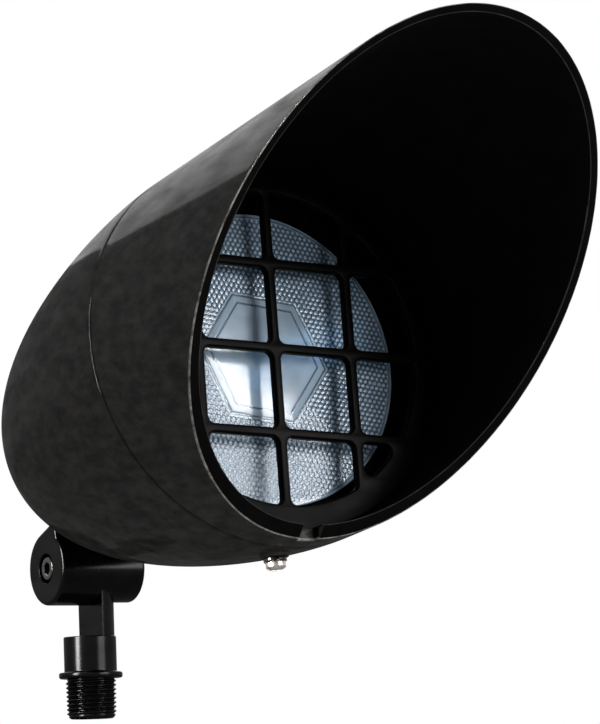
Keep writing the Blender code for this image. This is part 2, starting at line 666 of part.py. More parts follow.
def cell_outline(column, row):
    """Rounded opening in the guard's first quadrant, between bars and ring, if it has room."""
    half_bar = BAR_WIDTH / 2
    inner = GUARD_OPENING_R - CELL_FILLET
    x0 = column * BAR_PITCH + half_bar + CELL_FILLET
    y0 = row * BAR_PITCH + half_bar + CELL_FILLET
    x1 = (column + 1) * BAR_PITCH - half_bar - CELL_FILLET
    y1 = (row + 1) * BAR_PITCH - half_bar - CELL_FILLET
    if math.hypot(x0, y0) > inner - CELL_FILLET:
        return []
    quarter = math.pi / 2
    far_x = math.sqrt(max(0.0, inner ** 2 - y0 ** 2))
    top_x = math.sqrt(max(0.0, inner ** 2 - y1 ** 2))
    far_y = math.sqrt(max(0.0, inner ** 2 - x0 ** 2))
    side_y = math.sqrt(max(0.0, inner ** 2 - x1 ** 2))
    corners = [((x0, y0), 2 * quarter, 3 * quarter)]
    if column == 0:
        corners.append(((x1, y0), 3 * quarter, 4 * quarter))
    else:
        corners.append(((far_x, y0), 3 * quarter, 4 * quarter + math.atan2(y0, far_x)))
    if column == 0 and row == 0:
        corners.append(((x1, y1), 0.0, quarter))
    elif row == 0:
        corners.append(((top_x, y1), math.atan2(y1, top_x), quarter))
    elif column == 0:
        corners.append(((x1, side_y), 0.0, math.atan2(side_y, x1)))
    if row == 0:
        corners.append(((x0, y1), quarter, 2 * quarter))
    else:
        corners.append(((x0, far_y), math.atan2(far_y, x0), 2 * quarter))
    points = []
    for centre, start, end in corners:
        points.extend(arc(centre, CELL_FILLET, start, end, 2))
    return ring_arc(points)


def ring_arc(points):
    """Add points where an outline follows the ring, so that it stays round there."""
    full = []
    for (xa, ya), (xb, yb) in zip(points, points[1:] + points[:1]):
        full.append((xa, ya))
        on_ring = (abs(math.hypot(xa, ya) - GUARD_OPENING_R) < FIT / 10
                   and abs(math.hypot(xb, yb) - GUARD_OPENING_R) < FIT / 10)
        start = math.atan2(ya, xa)
        end = math.atan2(yb, xb)
        steps = int(abs(end - start) / math.radians(7))
        if on_ring and steps > 1:
            full.extend(arc((0, 0), GUARD_OPENING_R, start, end, steps)[1:-1])
    return full


def make_guard(axis, material):
    """Rock guard: a ring with three bars each way and rounded openings between them."""
    outlines = [circle(GUARD_R, SIDES)]
    for column in (0, 1):
        for row in (0, 1):
            outline = cell_outline(column, row)
            for sx, sy in ((1, 1), (1, -1), (-1, 1), (-1, -1)):
                if outline:
                    outlines.append([turn_point((sx * x, sy * y), GUARD_CLOCK) for x, y in outline])
    guard = plate("rock_guard", outlines, GUARD_BACK_Z, GUARD_FRONT_Z, material, axis)
    turn = Matrix.Rotation(HOOD_CLOCK, 4, "Z")
    for index in range(3):
        x, y = guard_screw_place(index)
        foot = turn @ Vector((x, y, GUARD_BACK_Z - FIT))
        top = turn @ Vector((x, y, LEDGE_BACK_Z + GUARD_SCREW_LENGTH + GUARD_SCREW_HEAD + 3 * FIT))
        cut(guard, cylinder(f"guard_thread_{index}", GUARD_SCREW_R + FIT, foot, top,
                            None, axis, SCREW_SIDES, CUTTERS))
    return guard


def make_guard_screws(hood, material):
    """Three screws that come through the ledge from behind into the guard."""
    low = LEDGE_BACK_Z + FIT
    seat = low + GUARD_SCREW_HEAD
    tip = seat + GUARD_SCREW_LENGTH
    profile = [(0.0, tip), (GUARD_SCREW_R, tip), (GUARD_SCREW_R, seat), (GUARD_SCREW_HEAD_R, seat),
               (GUARD_SCREW_HEAD_R, low), (0.0, low)]
    for index in range(3):
        x, y = guard_screw_place(index)
        screw = turned(f"guard_screw_{index + 1}", profile, material, hood, SCREW_SIDES)
        screw.location = (x, y, 0)


def make_hood_o_ring(axis, material):
    """Rubber ring in the spigot's groove."""
    ring_r = BORE_R - FIT - O_RING_R
    section = arc((ring_r, O_RING_Z), O_RING_R, 0.0, -2 * math.pi, 5)[:-1]
    return turned("hood_o_ring", section, material, axis, SIDES, True)


def make_lock_screw(axis, material):
    """Pan head screw through the housing's boss, its point in the spigot's groove."""
    seat = LOCK_SEAT_R + LOCK_WASHER + FIT
    top = seat + LOCK_HEAD
    tip = SPIGOT_R - LOCK_GROOVE_DEPTH + 2 * FIT
    point_r = 0.25 * LOCK_SCREW_R
    profile = [(0.0, top), (0.60 * LOCK_HEAD_R, top - 0.07 * LOCK_HEAD),
               (0.90 * LOCK_HEAD_R, top - 0.35 * LOCK_HEAD), (LOCK_HEAD_R, top - 0.7 * LOCK_HEAD),
               (LOCK_HEAD_R, seat), (LOCK_SCREW_R, seat),
               (LOCK_SCREW_R, tip + LOCK_SCREW_R), (point_r, tip), (0.0, tip)]
    screw = turned("hood_lock_screw", profile, material, axis, SMALL_SIDES)
    face_down(screw)
    cut(screw, block("lock_slot", (-LOCK_HEAD_R, -LOCK_SLOT / 2, top - LOCK_HEAD / 2),
                     (LOCK_HEAD_R, LOCK_SLOT / 2, top + OVERLAP), None, screw, CUTTERS))


def make_lock_washer(axis, material):
    """Plain washer under the head of the lock screw."""
    inner = LOCK_SCREW_R + FIT
    top = LOCK_SEAT_R + LOCK_WASHER
    profile = [(LOCK_WASHER_R, top), (LOCK_WASHER_R, LOCK_SEAT_R), (inner, LOCK_SEAT_R),
               (inner, top)]
    face_down(turned("hood_lock_washer", profile, material, axis, SMALL_SIDES, True))


def face_down(obj):
    """Turn a piece so that its own z axis points down from the lamp axis, at the lock screw."""
    obj.rotation_euler = (math.radians(90), 0, 0)
    obj.location = (0, 0, LOCK_Z)


def lens_height(radius):
    """Front of the lens: a shallow ball cap between its top and its rim."""
    ball = (LAMP_R ** 2 + LENS_BULGE ** 2) / (2 * LENS_BULGE)
    return LENS_TOP_Z - (ball - math.sqrt(ball ** 2 - radius ** 2))


def make_lens(lamp, material):
    """Pressed-glass lens with a raised hexagon in its middle."""
    front = [(LAMP_R * s, lens_height(LAMP_R * s)) for s in np.linspace(0, 0.97, 7)]
    inner_r = LAMP_R - LENS_THICKNESS
    back = [(inner_r * s, lens_height(inner_r * s) - LENS_THICKNESS) for s in np.linspace(1, 0, 5)]
    rim = [(LAMP_R, LENS_RIM_Z - EDGE), (LAMP_R, LENS_BASE_Z), (inner_r, LENS_BASE_Z)]
    lens = turned("lamp_lens", front + rim + back, material, lamp, KNUCKLE_SIDES)
    pad_low = lens_height(HEXAGON_R) - HEXAGON_RISE
    pad = cylinder("hexagon", HEXAGON_R + HEXAGON_BORDER, (0, 0, pad_low), (0, 0, LENS_FRONT_Z),
                   None, lamp, 6, CUTTERS, HEXAGON_R)
    pad.rotation_euler = (0, 0, LAMP_CLOCK + math.radians(30))
    join(lens, pad)
    return lens


def make_reflector(lamp, material):
    """Glass bowl of parabolic section with its neck."""
    rim_low = BOWL_RIM_Z - BOWL_BAND
    outer_z = np.linspace(rim_low, NECK_TOP_Z, 5)
    inner_r = np.linspace(REFLECTOR_HOLE_R, BOWL_R, 6)[1:]
    profile = [(LAMP_R, BOWL_RIM_Z), (LAMP_R, rim_low)]
    profile += [(min(LAMP_R - FIT, bowl_radius(z, REFLECTOR_BACK)), z) for z in outer_z]
    profile += [(REFLECTOR_NECK_R, NECK_BASE_Z), (REFLECTOR_HOLE_R, NECK_BASE_Z)]
    profile += [(REFLECTOR_HOLE_R, hole_top())]
    profile += [(r, BOWL_VERTEX_Z + r ** 2 / (4 * REFLECTOR_FOCUS)) for r in inner_r]
    return turned("lamp_reflector", profile, material, lamp, KNUCKLE_SIDES, True)


def hole_top():
    """Height where the bowl's curve meets the hole in its neck."""
    return BOWL_VERTEX_Z + REFLECTOR_HOLE_R ** 2 / (4 * REFLECTOR_FOCUS)


def make_capsule(lamp, material):
    """Light capsule, seated in the reflector's neck."""
    foot_r = REFLECTOR_HOLE_R - FIT
    foot_z = NECK_BASE_Z + FIT
    top_z = foot_z + CAPSULE_LENGTH
    foot_top = hole_top() - FIT
    cap = arc((0.0, top_z - CAPSULE_R), CAPSULE_R, math.pi / 2, 0.0, 4)
    profile = [(0.0, top_z)] + cap[1:]
    profile += [(CAPSULE_R, foot_top + CAPSULE_WAIST), (foot_r, foot_top), (foot_r, foot_z),
                (0.0, foot_z)]
    return turned("lamp_capsule", profile, material, lamp, SMALL_SIDES)


def make_base_shell(lamp, material):
    """Skirt round the reflector's neck and the screw shell of the lamp's base."""
    cup_r = REFLECTOR_NECK_R + FIT
    skirt_r = cup_r + SKIRT_WALL
    cup_z = NECK_BASE_Z - FIT
    skirt_top = NECK_TOP_Z - 2 * SKIRT_WALL
    screw_top = SCREW_END_Z + SCREW_BASE_LENGTH
    profile = [(0.0, cup_z), (cup_r, cup_z), (cup_r, skirt_top), (skirt_r, skirt_top),
               (skirt_r, skirt_top - SKIRT_LENGTH), (SCREW_BASE_R, screw_top),
               (SCREW_BASE_R, SCREW_END_Z + BASE_TAPER), (SCREW_BASE_R - BASE_TAPER, SCREW_END_Z),
               (0.0, SCREW_END_Z)]
    return turned("lamp_base_shell", profile, material, lamp, KNUCKLE_SIDES)


def make_insulator(lamp, material):
    """Black glass cone at the end of the lamp's base."""
    top = INSULATOR_TOP_Z
    low = top - INSULATOR_LENGTH
    profile = [(0.0, top), (SCREW_BASE_R - BASE_TAPER - EDGE, top), (CONTACT_R + FIT, low),
               (0.0, low)]
    return turned("lamp_base_insulator", profile, material, lamp, SMALL_SIDES)


def make_base_contact(lamp, material):
    """Solder button at the end of the lamp's base."""
    top = LAMP_END_Z + CONTACT_LENGTH
    profile = [(0.0, top), (CONTACT_R, top), (0.75 * CONTACT_R, LAMP_END_Z + EDGE / 2),
               (0.0, LAMP_END_Z)]
    return turned("lamp_base_contact", profile, material, lamp, SMALL_SIDES)


def make_collar(axis, lamp, material):
    """Silicone collar that fills the room between the lamp's rim and the hood's spigot."""
    front_z = LEDGE_BACK_Z - FIT
    back_z = front_z - COLLAR_LENGTH
    outer_r = SPIGOT_BORE_R - FIT
    lens_r = LAMP_R + FIT
    bore_r = LAMP_R - COLLAR_DEPTH
    ring = [(outer_r, front_z), (outer_r, back_z), (bore_r, back_z), (bore_r, front_z)]
    collar = turned("lamp_collar", ring, material, axis, SIDES, True)
    lip_r = LAMP_R - COLLAR_LIP
    lip_z = lens_height(lip_r) + FIT
    above = front_z + OVERLAP
    below = back_z - OVERLAP
    flare = [(0.0, above), (lip_r + COLLAR_FLARE, above), (lip_r, lip_z + COLLAR_LIP_WALL),
             (lip_r, lip_z), (lens_r, lip_z), (lens_r, below), (0.0, below)]
    cut(collar, turned("collar_seat", flare, None, lamp, SIDES, False, CUTTERS))
    return collar


def make_socket_body(lamp, material):
    """Porcelain cup of the lampholder."""
    top = SOCKET_TOP_Z
    profile = [(0.0, SOCKET_FLOOR_Z), (SOCKET_BORE_R, SOCKET_FLOOR_Z), (SOCKET_BORE_R, top),
               (SOCKET_R - EDGE, top), (SOCKET_R, top - EDGE), (SOCKET_R, SOCKET_BACK_Z),
               (0.0, SOCKET_BACK_Z)]
    body = turned("socket_body", profile, material, lamp, KNUCKLE_SIDES)
    for side in (-1, 1):
        x = side * SOCKET_SCREW_X
        cut(body, cylinder(f"socket_screw_hole_{side}", SOCKET_SCREW_R + FIT,
                           (x, 0, SOCKET_BACK_Z - OVERLAP), (x, 0, SOCKET_BACK_Z + SOCKET_SCREW_DEPTH),
                           None, lamp, SCREW_SIDES, CUTTERS))
        exit_x = side * LEAD_EXIT_X
        cut(body, cylinder(f"socket_lead_hole_{side}", LEAD_R + FIT,
                           (exit_x, 0, SOCKET_BACK_Z - OVERLAP),
                           (exit_x, 0, SOCKET_FLOOR_Z + OVERLAP), None, lamp, SCREW_SIDES, CUTTERS))
    return body


def make_socket_shell(lamp, material):
    """Brass screw shell inside the porcelain cup."""
    low = SCREW_END_Z - OVERLAP
    high = SOCKET_TOP_Z - 2 * EDGE
    inner = SCREW_BASE_R + FIT
    outer = inner + SHELL_WALL
    profile = [(outer, high), (outer, low), (inner, low), (inner, high)]
    return turned("socket_shell", profile, material, lamp, KNUCKLE_SIDES, True)


def make_socket_contact(lamp, material):
    """Folded brass strip under the lamp's contact."""
    low = SOCKET_FLOOR_Z + FIT
    high = LAMP_END_Z - FIT
    left = -STRIP_HALF
    right = STRIP_HALF
    tail = left + FIT
    outline = [(left, low), (right, low), (right, high), (tail, high), (tail, high - STRIP_WALL),
               (right - STRIP_WALL, high - STRIP_WALL), (right - STRIP_WALL, low + STRIP_WALL),
               (left, low + STRIP_WALL)]
    strip = plate("socket_contact", [outline], -STRIP_WIDTH / 2, STRIP_WIDTH / 2, material, lamp)
    strip.data.transform(strip.matrix_basis)
    strip.matrix_basis = Matrix.Identity(4)
    strip.data.transform(Matrix.Rotation(math.radians(90), 4, "X"))
    return strip


def make_bracket(lamp, material):
    """Steel strip that carries the lampholder, with its holes."""
    half = BRACKET_WIDTH / 2
    end = BRACKET_REACH - half
    right = arc((end, 0), half, -math.pi / 2, math.pi / 2, 6)
    left = arc((-end, 0), half, math.pi / 2, 3 * math.pi / 2, 6)
    holes = [circle(BRACKET_MIDDLE_R, SMALL_SIDES),
             circle(GROUND_SCREW_R + FIT, SCREW_SIDES, (-GROUND_X, 0))]
    for side in (-1, 1):
        holes.append(circle(M4_R + FIT, SCREW_SIDES, (side * BRACKET_HOLE_X, 0)))
        holes.append(circle(SOCKET_SCREW_R + FIT, SCREW_SIDES, (side * SOCKET_SCREW_X, 0)))
    return plate("socket_bracket", [right + left] + holes, BRACKET_Z, BRACKET_Z + BRACKET_WALL,
                 material, lamp)


def screw_profile(seat, head_r, head, shank_r, length, up):
    """Profile of a pan head screw whose head stands on a seat; up says which way it faces."""
    if up:
        return [(0.0, seat + head), (0.7 * head_r, seat + head), (head_r, seat + 0.6 * head),
                (head_r, seat), (shank_r, seat), (shank_r, seat - length), (0.0, seat - length)]
    return [(0.0, seat + length), (shank_r, seat + length), (shank_r, seat), (head_r, seat),
            (head_r, seat - 0.6 * head), (0.7 * head_r, seat - head), (0.0, seat - head)]


def make_bracket_screws(lamp, material):
    """Two screws from the bracket into the housing's bosses."""
    seat = BRACKET_Z + BRACKET_WALL + FIT
    length = BRACKET_WALL + 2 * FIT + BRACKET_SCREW_DEPTH
    profile = screw_profile(seat, M4_HEAD_R, M4_HEAD, M4_R, length, True)
    for index, side in enumerate((-1, 1)):
        screw = turned(f"bracket_screw_{index + 1}", profile, material, lamp, SCREW_SIDES)
        screw.location = (side * BRACKET_HOLE_X, 0, 0)


def make_socket_screws(lamp, material):
    """Two screws from behind the bracket into the porcelain."""
    seat = BRACKET_Z - FIT
    length = BRACKET_WALL + FIT + SOCKET_SCREW_DEPTH
    profile = screw_profile(seat, 1.9 * SOCKET_SCREW_R, M4_HEAD, SOCKET_SCREW_R, length, False)
    for index, side in enumerate((-1, 1)):
        screw = turned(f"socket_screw_{index + 1}", profile, material, lamp, SCREW_SIDES)
        screw.location = (side * SOCKET_SCREW_X, 0, 0)


def make_ground_screw(lamp, material):
    """Earth screw on the bracket, over the ring terminal."""
    seat = BRACKET_Z + BRACKET_WALL + FIT + TERMINAL_WALL + FIT
    length = GROUND_SCREW_DEPTH + TERMINAL_WALL + BRACKET_WALL
    profile = screw_profile(seat, GROUND_HEAD_R, M4_HEAD, GROUND_SCREW_R, length, True)
    screw = turned("ground_screw", profile, material, lamp, SCREW_SIDES)
    screw.location = (-GROUND_X, 0, 0)


def make_terminal(lamp, material):
    """Ring terminal of the earth lead, with its tongue bent past the bracket."""
    low = BRACKET_Z + BRACKET_WALL + FIT
    tongue = TERMINAL_HALF
    reach = BRACKET_WIDTH / 2 + TERMINAL_TONGUE
    mouth = math.asin(tongue / TERMINAL_R)
    start = mouth - math.pi / 2
    ring = arc((0, 0), TERMINAL_R, start, start + 2 * (math.pi - mouth), 12)
    outline = ring + [(-tongue, -reach), (tongue, -reach)]
    outline = [(x - GROUND_X, y) for x, y in outline]
    hole = circle(GROUND_SCREW_R + FIT, SCREW_SIDES, (-GROUND_X, 0))
    return plate("ground_terminal", [outline, hole], low, low + TERMINAL_WALL, material, lamp)


def wire(name, route, material, parent):
    """An insulated lead along a smooth curve through the route's points."""
    points = smooth_route([Vector(p) for p in route], 3)
    curve = bpy.data.curves.new(name, "CURVE")
    curve.dimensions = "3D"
    curve.bevel_depth = LEAD_R
    curve.bevel_resolution = 1
    curve.use_fill_caps = True
    spline = curve.splines.new("POLY")
    spline.points.add(len(points) - 1)
    for point, place in zip(spline.points, points):
        point.co = (*place, 1.0)
    obj = bpy.data.objects.new(name, curve)
    PARTS.objects.link(obj)
    obj.parent = parent
    solid = mesh_from_curve(obj)
    solid.data.materials.append(material)
    smooth(solid, math.radians(60))
    return solid


def smooth_route(points, steps):
    """Catmull-Rom curve through points, with a number of steps between each two."""
    padded = [2 * points[0] - points[1]] + points + [2 * points[-1] - points[-2]]
    route = []
    for a, b, c, d in zip(padded, padded[1:], padded[2:], padded[3:]):
        for share in np.arange(steps) / steps:
            cubic = (2 * b + (c - a) * share + (2 * a - 5 * b + 4 * c - d) * share ** 2
                     + (3 * b - a - 3 * c + d) * share ** 3)
            route.append(cubic / 2)
    route.append(points[-1])
    return route


def way_point(distance, index):
    """Place of one of the three leads at a distance from the hinge along the wireway."""
    angle = math.radians(90 + 120 * index)
    across = LEAD_SPREAD * math.sin(angle)
    up = math.cos(WIREWAY_ANGLE)
    forward = math.sin(WIREWAY_ANGLE)
    return (WIREWAY_X + LEAD_SPREAD * math.cos(angle),
            distance * up - across * forward, distance * forward + across * up)


def way_end(index):
    """Last points of a lead: straight down the wireway into the ear's hollow."""
    mouth = GROMMET_SEAT + GROMMET_FLANGE + FIT
    return [way_point(distance, index) for distance in (mouth + 4 * LEAD_R, mouth, LEAD_END)]


def route_between(start, end):
    """A bend, and two points on from it, the second close to the mouth of the wireway."""
    start = Vector(start)
    end = Vector(end)
    return [start, start.lerp(end, 0.4), start.lerp(end, 0.8)]


def make_leads(pivot, black, white, green):
    """Leads from the lampholder and the earth screw into the ear's wireway."""
    start_z = SOCKET_FLOOR_Z - FIT
    behind_z = BRACKET_Z - LEAD_R
    for name, side, index, material in (("lead_black", -1, 1, black), ("lead_white", 1, 2, white)):
        x = side * LEAD_EXIT_X
        end = way_end(index)
        bend = (x, HOLDER_Y - LEAD_DROP, behind_z - LEAD_LOOP)
        wire(name, [(x, HOLDER_Y, start_z), (x, HOLDER_Y, behind_z)] + route_between(bend, end[0])
             + end, material, pivot)
    tongue_y = HOLDER_Y - BRACKET_WIDTH / 2 - TERMINAL_TONGUE - LEAD_R / 2
    terminal_z = BRACKET_Z + BRACKET_WALL + FIT + TERMINAL_WALL / 2
    end = way_end(0)
    bend = (-GROUND_X, tongue_y - LEAD_DROP, terminal_z)
    wire("lead_green", [(-GROUND_X, tongue_y, terminal_z)] + route_between(bend, end[0]) + end,
         green, pivot)


def make_grommet(way, material):
    """Rubber grommet in the mouth of the wireway."""
    seat = GROMMET_SEAT + FIT
    profile = [(GROMMET_FLANGE_R, seat + GROMMET_FLANGE), (GROMMET_FLANGE_R, seat),
               (WIREWAY_R - FIT, seat), (WIREWAY_R - FIT, seat - GROMMET_BARREL),
               (GROMMET_BORE_R, seat - GROMMET_BARREL), (GROMMET_BORE_R, seat + GROMMET_FLANGE)]
    turned("wireway_grommet", profile, material, way, SMALL_SIDES, True)


def make_knuckle_arm(foot, material):
    """Lower arm: nipple, flange, sleeve, half-round neck and the disc of the hinge."""
    sleeve_edge = EDGE / 2
    profile = [(0.0, SLEEVE_TOP), (SLEEVE_R - sleeve_edge, SLEEVE_TOP),
               (SLEEVE_R, SLEEVE_TOP - sleeve_edge), (SLEEVE_R, FLANGE_HEIGHT),
               (FLANGE_R - EDGE, FLANGE_HEIGHT),
               (FLANGE_R, FLANGE_HEIGHT - EDGE), (FLANGE_R, EDGE), (FLANGE_R - EDGE, 0.0),
               (NIPPLE_ROOT_R, 0.0), (NIPPLE_ROOT_R, EDGE - NIPPLE_LENGTH),
               (NIPPLE_ROOT_R - EDGE, -NIPPLE_LENGTH), (0.0, -NIPPLE_LENGTH)]
    arm = turned("knuckle_arm", profile, material, foot, KNUCKLE_SIDES)
    neck = turned("neck", [(0.0, HINGE_Z), (NECK_R, HINGE_Z), (NECK_R, SLEEVE_TOP - OVERLAP),
                           (0.0, SLEEVE_TOP - OVERLAP)], None, foot, KNUCKLE_SIDES, False, CUTTERS)
    behind = 2 * NECK_R
    flat_x = ARM_FACE_X + NECK_SETBACK
    cut(neck, block("neck_flat", (-behind, -behind, 0), (flat_x, behind, 2 * HINGE_Z), None, foot,
                    CUTTERS))
    cut(neck, cylinder("neck_end", ARM_DISC_R - OVERLAP, (-behind, 0, HINGE_Z), (behind, 0, HINGE_Z),
                       None, foot, KNUCKLE_SIDES, CUTTERS))
    disc = turned("arm_disc", disc_profile(), None, foot, KNUCKLE_SIDES, False, CUTTERS)
    lay_along_x(disc, 1)
    disc.location = (0, 0, HINGE_Z)
    join(arm, neck, disc)
    cut(arm, cylinder("nipple_bore", NIPPLE_BORE_R, (0, 0, -NIPPLE_LENGTH - OVERLAP),
                      (0, 0, NIPPLE_BORE_TOP), None, foot, SMALL_SIDES, CUTTERS))
    cut(arm, cylinder("neck_way", NECK_WAY_R, (NECK_WAY_X, 0, NIPPLE_BORE_TOP - OVERLAP),
                      (NECK_WAY_X, 0, HINGE_Z - HUB_R + 3 * OVERLAP), None, foot, SMALL_SIDES,
                      CUTTERS))


def disc_profile():
    """Disc of the lower arm: seal groove, hollow and thread in its mating face."""
    groove_out = SEAL_R + SEAL_SECTION_R + FIT
    groove_in = SEAL_R - SEAL_SECTION_R - FIT
    groove_floor = ARM_FACE_X + SEAL_GROOVE_DEPTH
    hub = ARM_FACE_X + HUB_DEPTH
    thread_r = HINGE_SCREW_R + FIT
    thread_end = HINGE_THREAD + FIT
    return [(0.0, KNUCKLE_HALF)] + barrel_profile(ARM_DISC_R, ARM_FACE_X) + [
        (groove_out, ARM_FACE_X), (groove_out, groove_floor), (groove_in, groove_floor),
        (groove_in, ARM_FACE_X), (HUB_R, ARM_FACE_X), (HUB_R, hub), (thread_r, hub),
        (thread_r, thread_end), (0.0, thread_end)]


def make_knuckle_seal(foot, material):
    """Rubber ring in the groove of the lower arm's face."""
    centre = ARM_FACE_X + SEAL_GROOVE_DEPTH - FIT - SEAL_SECTION_R
    section = arc((SEAL_R, centre), SEAL_SECTION_R, 0.0, -2 * math.pi, 5)[:-1]
    ring = turned("knuckle_o_ring", section, material, foot, KNUCKLE_SIDES, True)
    lay_along_x(ring, 1)
    ring.location = (0, 0, HINGE_Z)


def make_hinge_screw(foot, material):
    """Socket head screw of the hinge, along x, its head in the ear's counterbore."""
    head_top = HINGE_HEAD_X - HINGE_HEAD
    profile = [(0.0, -head_top), (HINGE_HEAD_R - EDGE, -head_top), (HINGE_HEAD_R, -head_top - EDGE),
               (HINGE_HEAD_R, -HINGE_HEAD_X), (HINGE_SCREW_R, -HINGE_HEAD_X),
               (HINGE_SCREW_R, -HINGE_THREAD + EDGE), (HINGE_SCREW_R - EDGE, -HINGE_THREAD),
               (0.0, -HINGE_THREAD)]
    screw = turned("hinge_screw", profile, material, foot, SMALL_SIDES)
    lay_along_x(screw, -1)
    screw.location = (0, 0, HINGE_Z)
    cut(screw, cylinder("hex_key", HEX_KEY_R, (0, 0, -head_top - HEX_KEY_DEPTH),
                        (0, 0, OVERLAP - head_top), None, screw, 6, CUTTERS))


def make_hinge_washer(foot, material):
    """Split lock washer between the screw's head and the counterbore."""
    inner = HINGE_SCREW_R + FIT
    profile = [(WASHER_R, -WASHER_X + WASHER_WALL), (WASHER_R, -WASHER_X), (inner, -WASHER_X),
               (inner, -WASHER_X + WASHER_WALL)]
    washer = turned("hinge_washer", profile, material, foot, SMALL_SIDES, True)
    lay_along_x(washer, -1)
    washer.location = (0, 0, HINGE_Z)
    cut(washer, block("washer_slit", (0, -WASHER_SLIT / 2, -WASHER_X - OVERLAP),
                      (WASHER_R + OVERLAP, WASHER_SLIT / 2, -WASHER_X + WASHER_WALL + OVERLAP),
                      None, washer, CUTTERS))


def build():
    """Make every piece of the floodlight."""
    casting = finish("black_powder_coat", (0.022, 0.022, 0.023), 0.5, 0.0)
    arm_paint = finish("black_gloss_paint", (0.012, 0.012, 0.013), 0.25, 0.0)
    guard_paint = finish("black_guard_paint", (0.012, 0.012, 0.012), 0.45, 0.0)
    rubber = finish("black_rubber", (0.015, 0.015, 0.015), 0.8, 0.0)
    stainless = finish("stainless_steel", (0.62, 0.60, 0.58), 0.3, 1.0)
    zinc = finish("zinc_plated_steel", (0.55, 0.56, 0.58), 0.4, 1.0)
    glass = finish("pressed_glass", (0.62, 0.72, 0.78), 0.08, 0.0)
    mirror = finish("aluminised_glass", (0.80, 0.83, 0.85), 0.1, 1.0)
    frosted = finish("frosted_capsule", (0.75, 0.77, 0.76), 0.35, 0.0)
    nickel = finish("nickel_base", (0.66, 0.62, 0.52), 0.35, 1.0)
    black_glass = finish("black_glass", (0.02, 0.02, 0.03), 0.15, 0.0)
    solder = finish("solder", (0.6, 0.6, 0.6), 0.45, 1.0)
    porcelain = finish("porcelain", (0.82, 0.80, 0.75), 0.2, 0.0)
    brass = finish("brass", (0.72, 0.52, 0.24), 0.3, 1.0)
    black_lead = finish("black_insulation", (0.02, 0.02, 0.02), 0.5, 0.0)
    white_lead = finish("white_insulation", (0.8, 0.8, 0.78), 0.5, 0.0)
    green_lead = finish("green_insulation", (0.03, 0.22, 0.06), 0.5, 0.0)

    foot = frame_at("foot", None, (0, 0, 0))
    pivot = frame_at("head_pivot", None, (0, 0, HINGE_Z), (math.radians(90) - TILT, 0, 0))
    axis = frame_at("head_axis", pivot, (0, AXIS_RISE, 0))
    lamp = frame_at("lamp_axis", axis, (0, -LAMP_DROP, 0))

    make_knuckle_arm(foot, arm_paint)
    make_knuckle_seal(foot, rubber)
    make_hinge_screw(foot, stainless)
    make_hinge_washer(foot, stainless)
    way = make_rear_housing(pivot, axis, lamp, casting)
    hood = make_hood(axis, casting)
    make_guard(axis, guard_paint)
    make_guard_screws(hood, stainless)
    make_hood_o_ring(axis, rubber)
    make_lock_screw(axis, stainless)
    make_lock_washer(axis, stainless)
    make_collar(axis, lamp, rubber)
    make_lens(lamp, glass)
    make_reflector(lamp, mirror)
    make_capsule(lamp, frosted)
    make_base_shell(lamp, nickel)
    make_insulator(lamp, black_glass)
    make_base_contact(lamp, solder)
    make_socket_body(lamp, porcelain)
    make_socket_shell(lamp, brass)
    make_socket_contact(lamp, brass)
    make_bracket(lamp, zinc)
    make_bracket_screws(lamp, zinc)
    make_socket_screws(lamp, zinc)
    make_ground_screw(lamp, brass)
    make_terminal(lamp, zinc)
    make_leads(pivot, black_lead, white_lead, green_lead)
    make_grommet(way, rubber)


clear_scene()
PARTS = make_collection("floodlight")
CUTTERS = make_collection("cutters")
build()
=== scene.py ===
"""Looks of a hooded floodlight for a reflector lamp, built round its packed solids.

Every surface is worked out in metres with numpy, in the frame of the hinge, the head or the
lamp, and then turned and moved to the place that the solids have.
"""
import json
import math

import bmesh
import bpy
import numpy as np
from bpy.props import FloatProperty, FloatVectorProperty, PointerProperty
from mathutils import Matrix


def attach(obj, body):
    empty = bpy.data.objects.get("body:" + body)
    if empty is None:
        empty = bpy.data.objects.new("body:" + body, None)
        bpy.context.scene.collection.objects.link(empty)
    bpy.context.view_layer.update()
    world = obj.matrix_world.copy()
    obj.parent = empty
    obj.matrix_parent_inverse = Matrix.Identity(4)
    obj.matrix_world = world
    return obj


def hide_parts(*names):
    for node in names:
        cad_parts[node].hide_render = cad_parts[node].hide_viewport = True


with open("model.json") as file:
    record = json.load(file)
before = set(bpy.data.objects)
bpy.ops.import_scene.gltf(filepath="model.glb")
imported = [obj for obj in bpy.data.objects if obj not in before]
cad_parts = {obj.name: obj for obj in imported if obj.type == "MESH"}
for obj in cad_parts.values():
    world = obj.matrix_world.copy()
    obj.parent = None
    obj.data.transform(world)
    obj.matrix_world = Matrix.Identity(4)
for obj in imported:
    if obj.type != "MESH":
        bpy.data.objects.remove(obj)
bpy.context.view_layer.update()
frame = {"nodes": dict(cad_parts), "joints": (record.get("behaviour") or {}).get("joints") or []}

bl_info = {
    "name": "Hooded floodlight",
    "version": (1, 0, 0),
    "blender": (4, 5, 0),
    "location": "3D View > Sidebar > Floodlight",
    "description": "Makes the pieces of a hooded floodlight on a knuckle mount",
    "category": "Object",
}

HINGE = np.array(frame["joints"][0]["pos_m"], float)
TILT = math.radians(9.3)      # the head's axis over the horizon
ACROSS = np.array([1.0, 0.0, 0.0])
UP = np.array([0.0, math.sin(TILT), math.cos(TILT)])
FORWARD = np.array([0.0, -math.cos(TILT), math.sin(TILT)])
WORLD_Y = np.array([0.0, 1.0, 0.0])
WORLD_Z = np.array([0.0, 0.0, 1.0])
TURN = 2 * math.pi
FIT = 0.0003                  # clearance between touching pieces
HOLD = 1.25                   # a rounding's shading is held at this many times its size
CREASE = math.radians(40)     # a steeper edge stays sharp


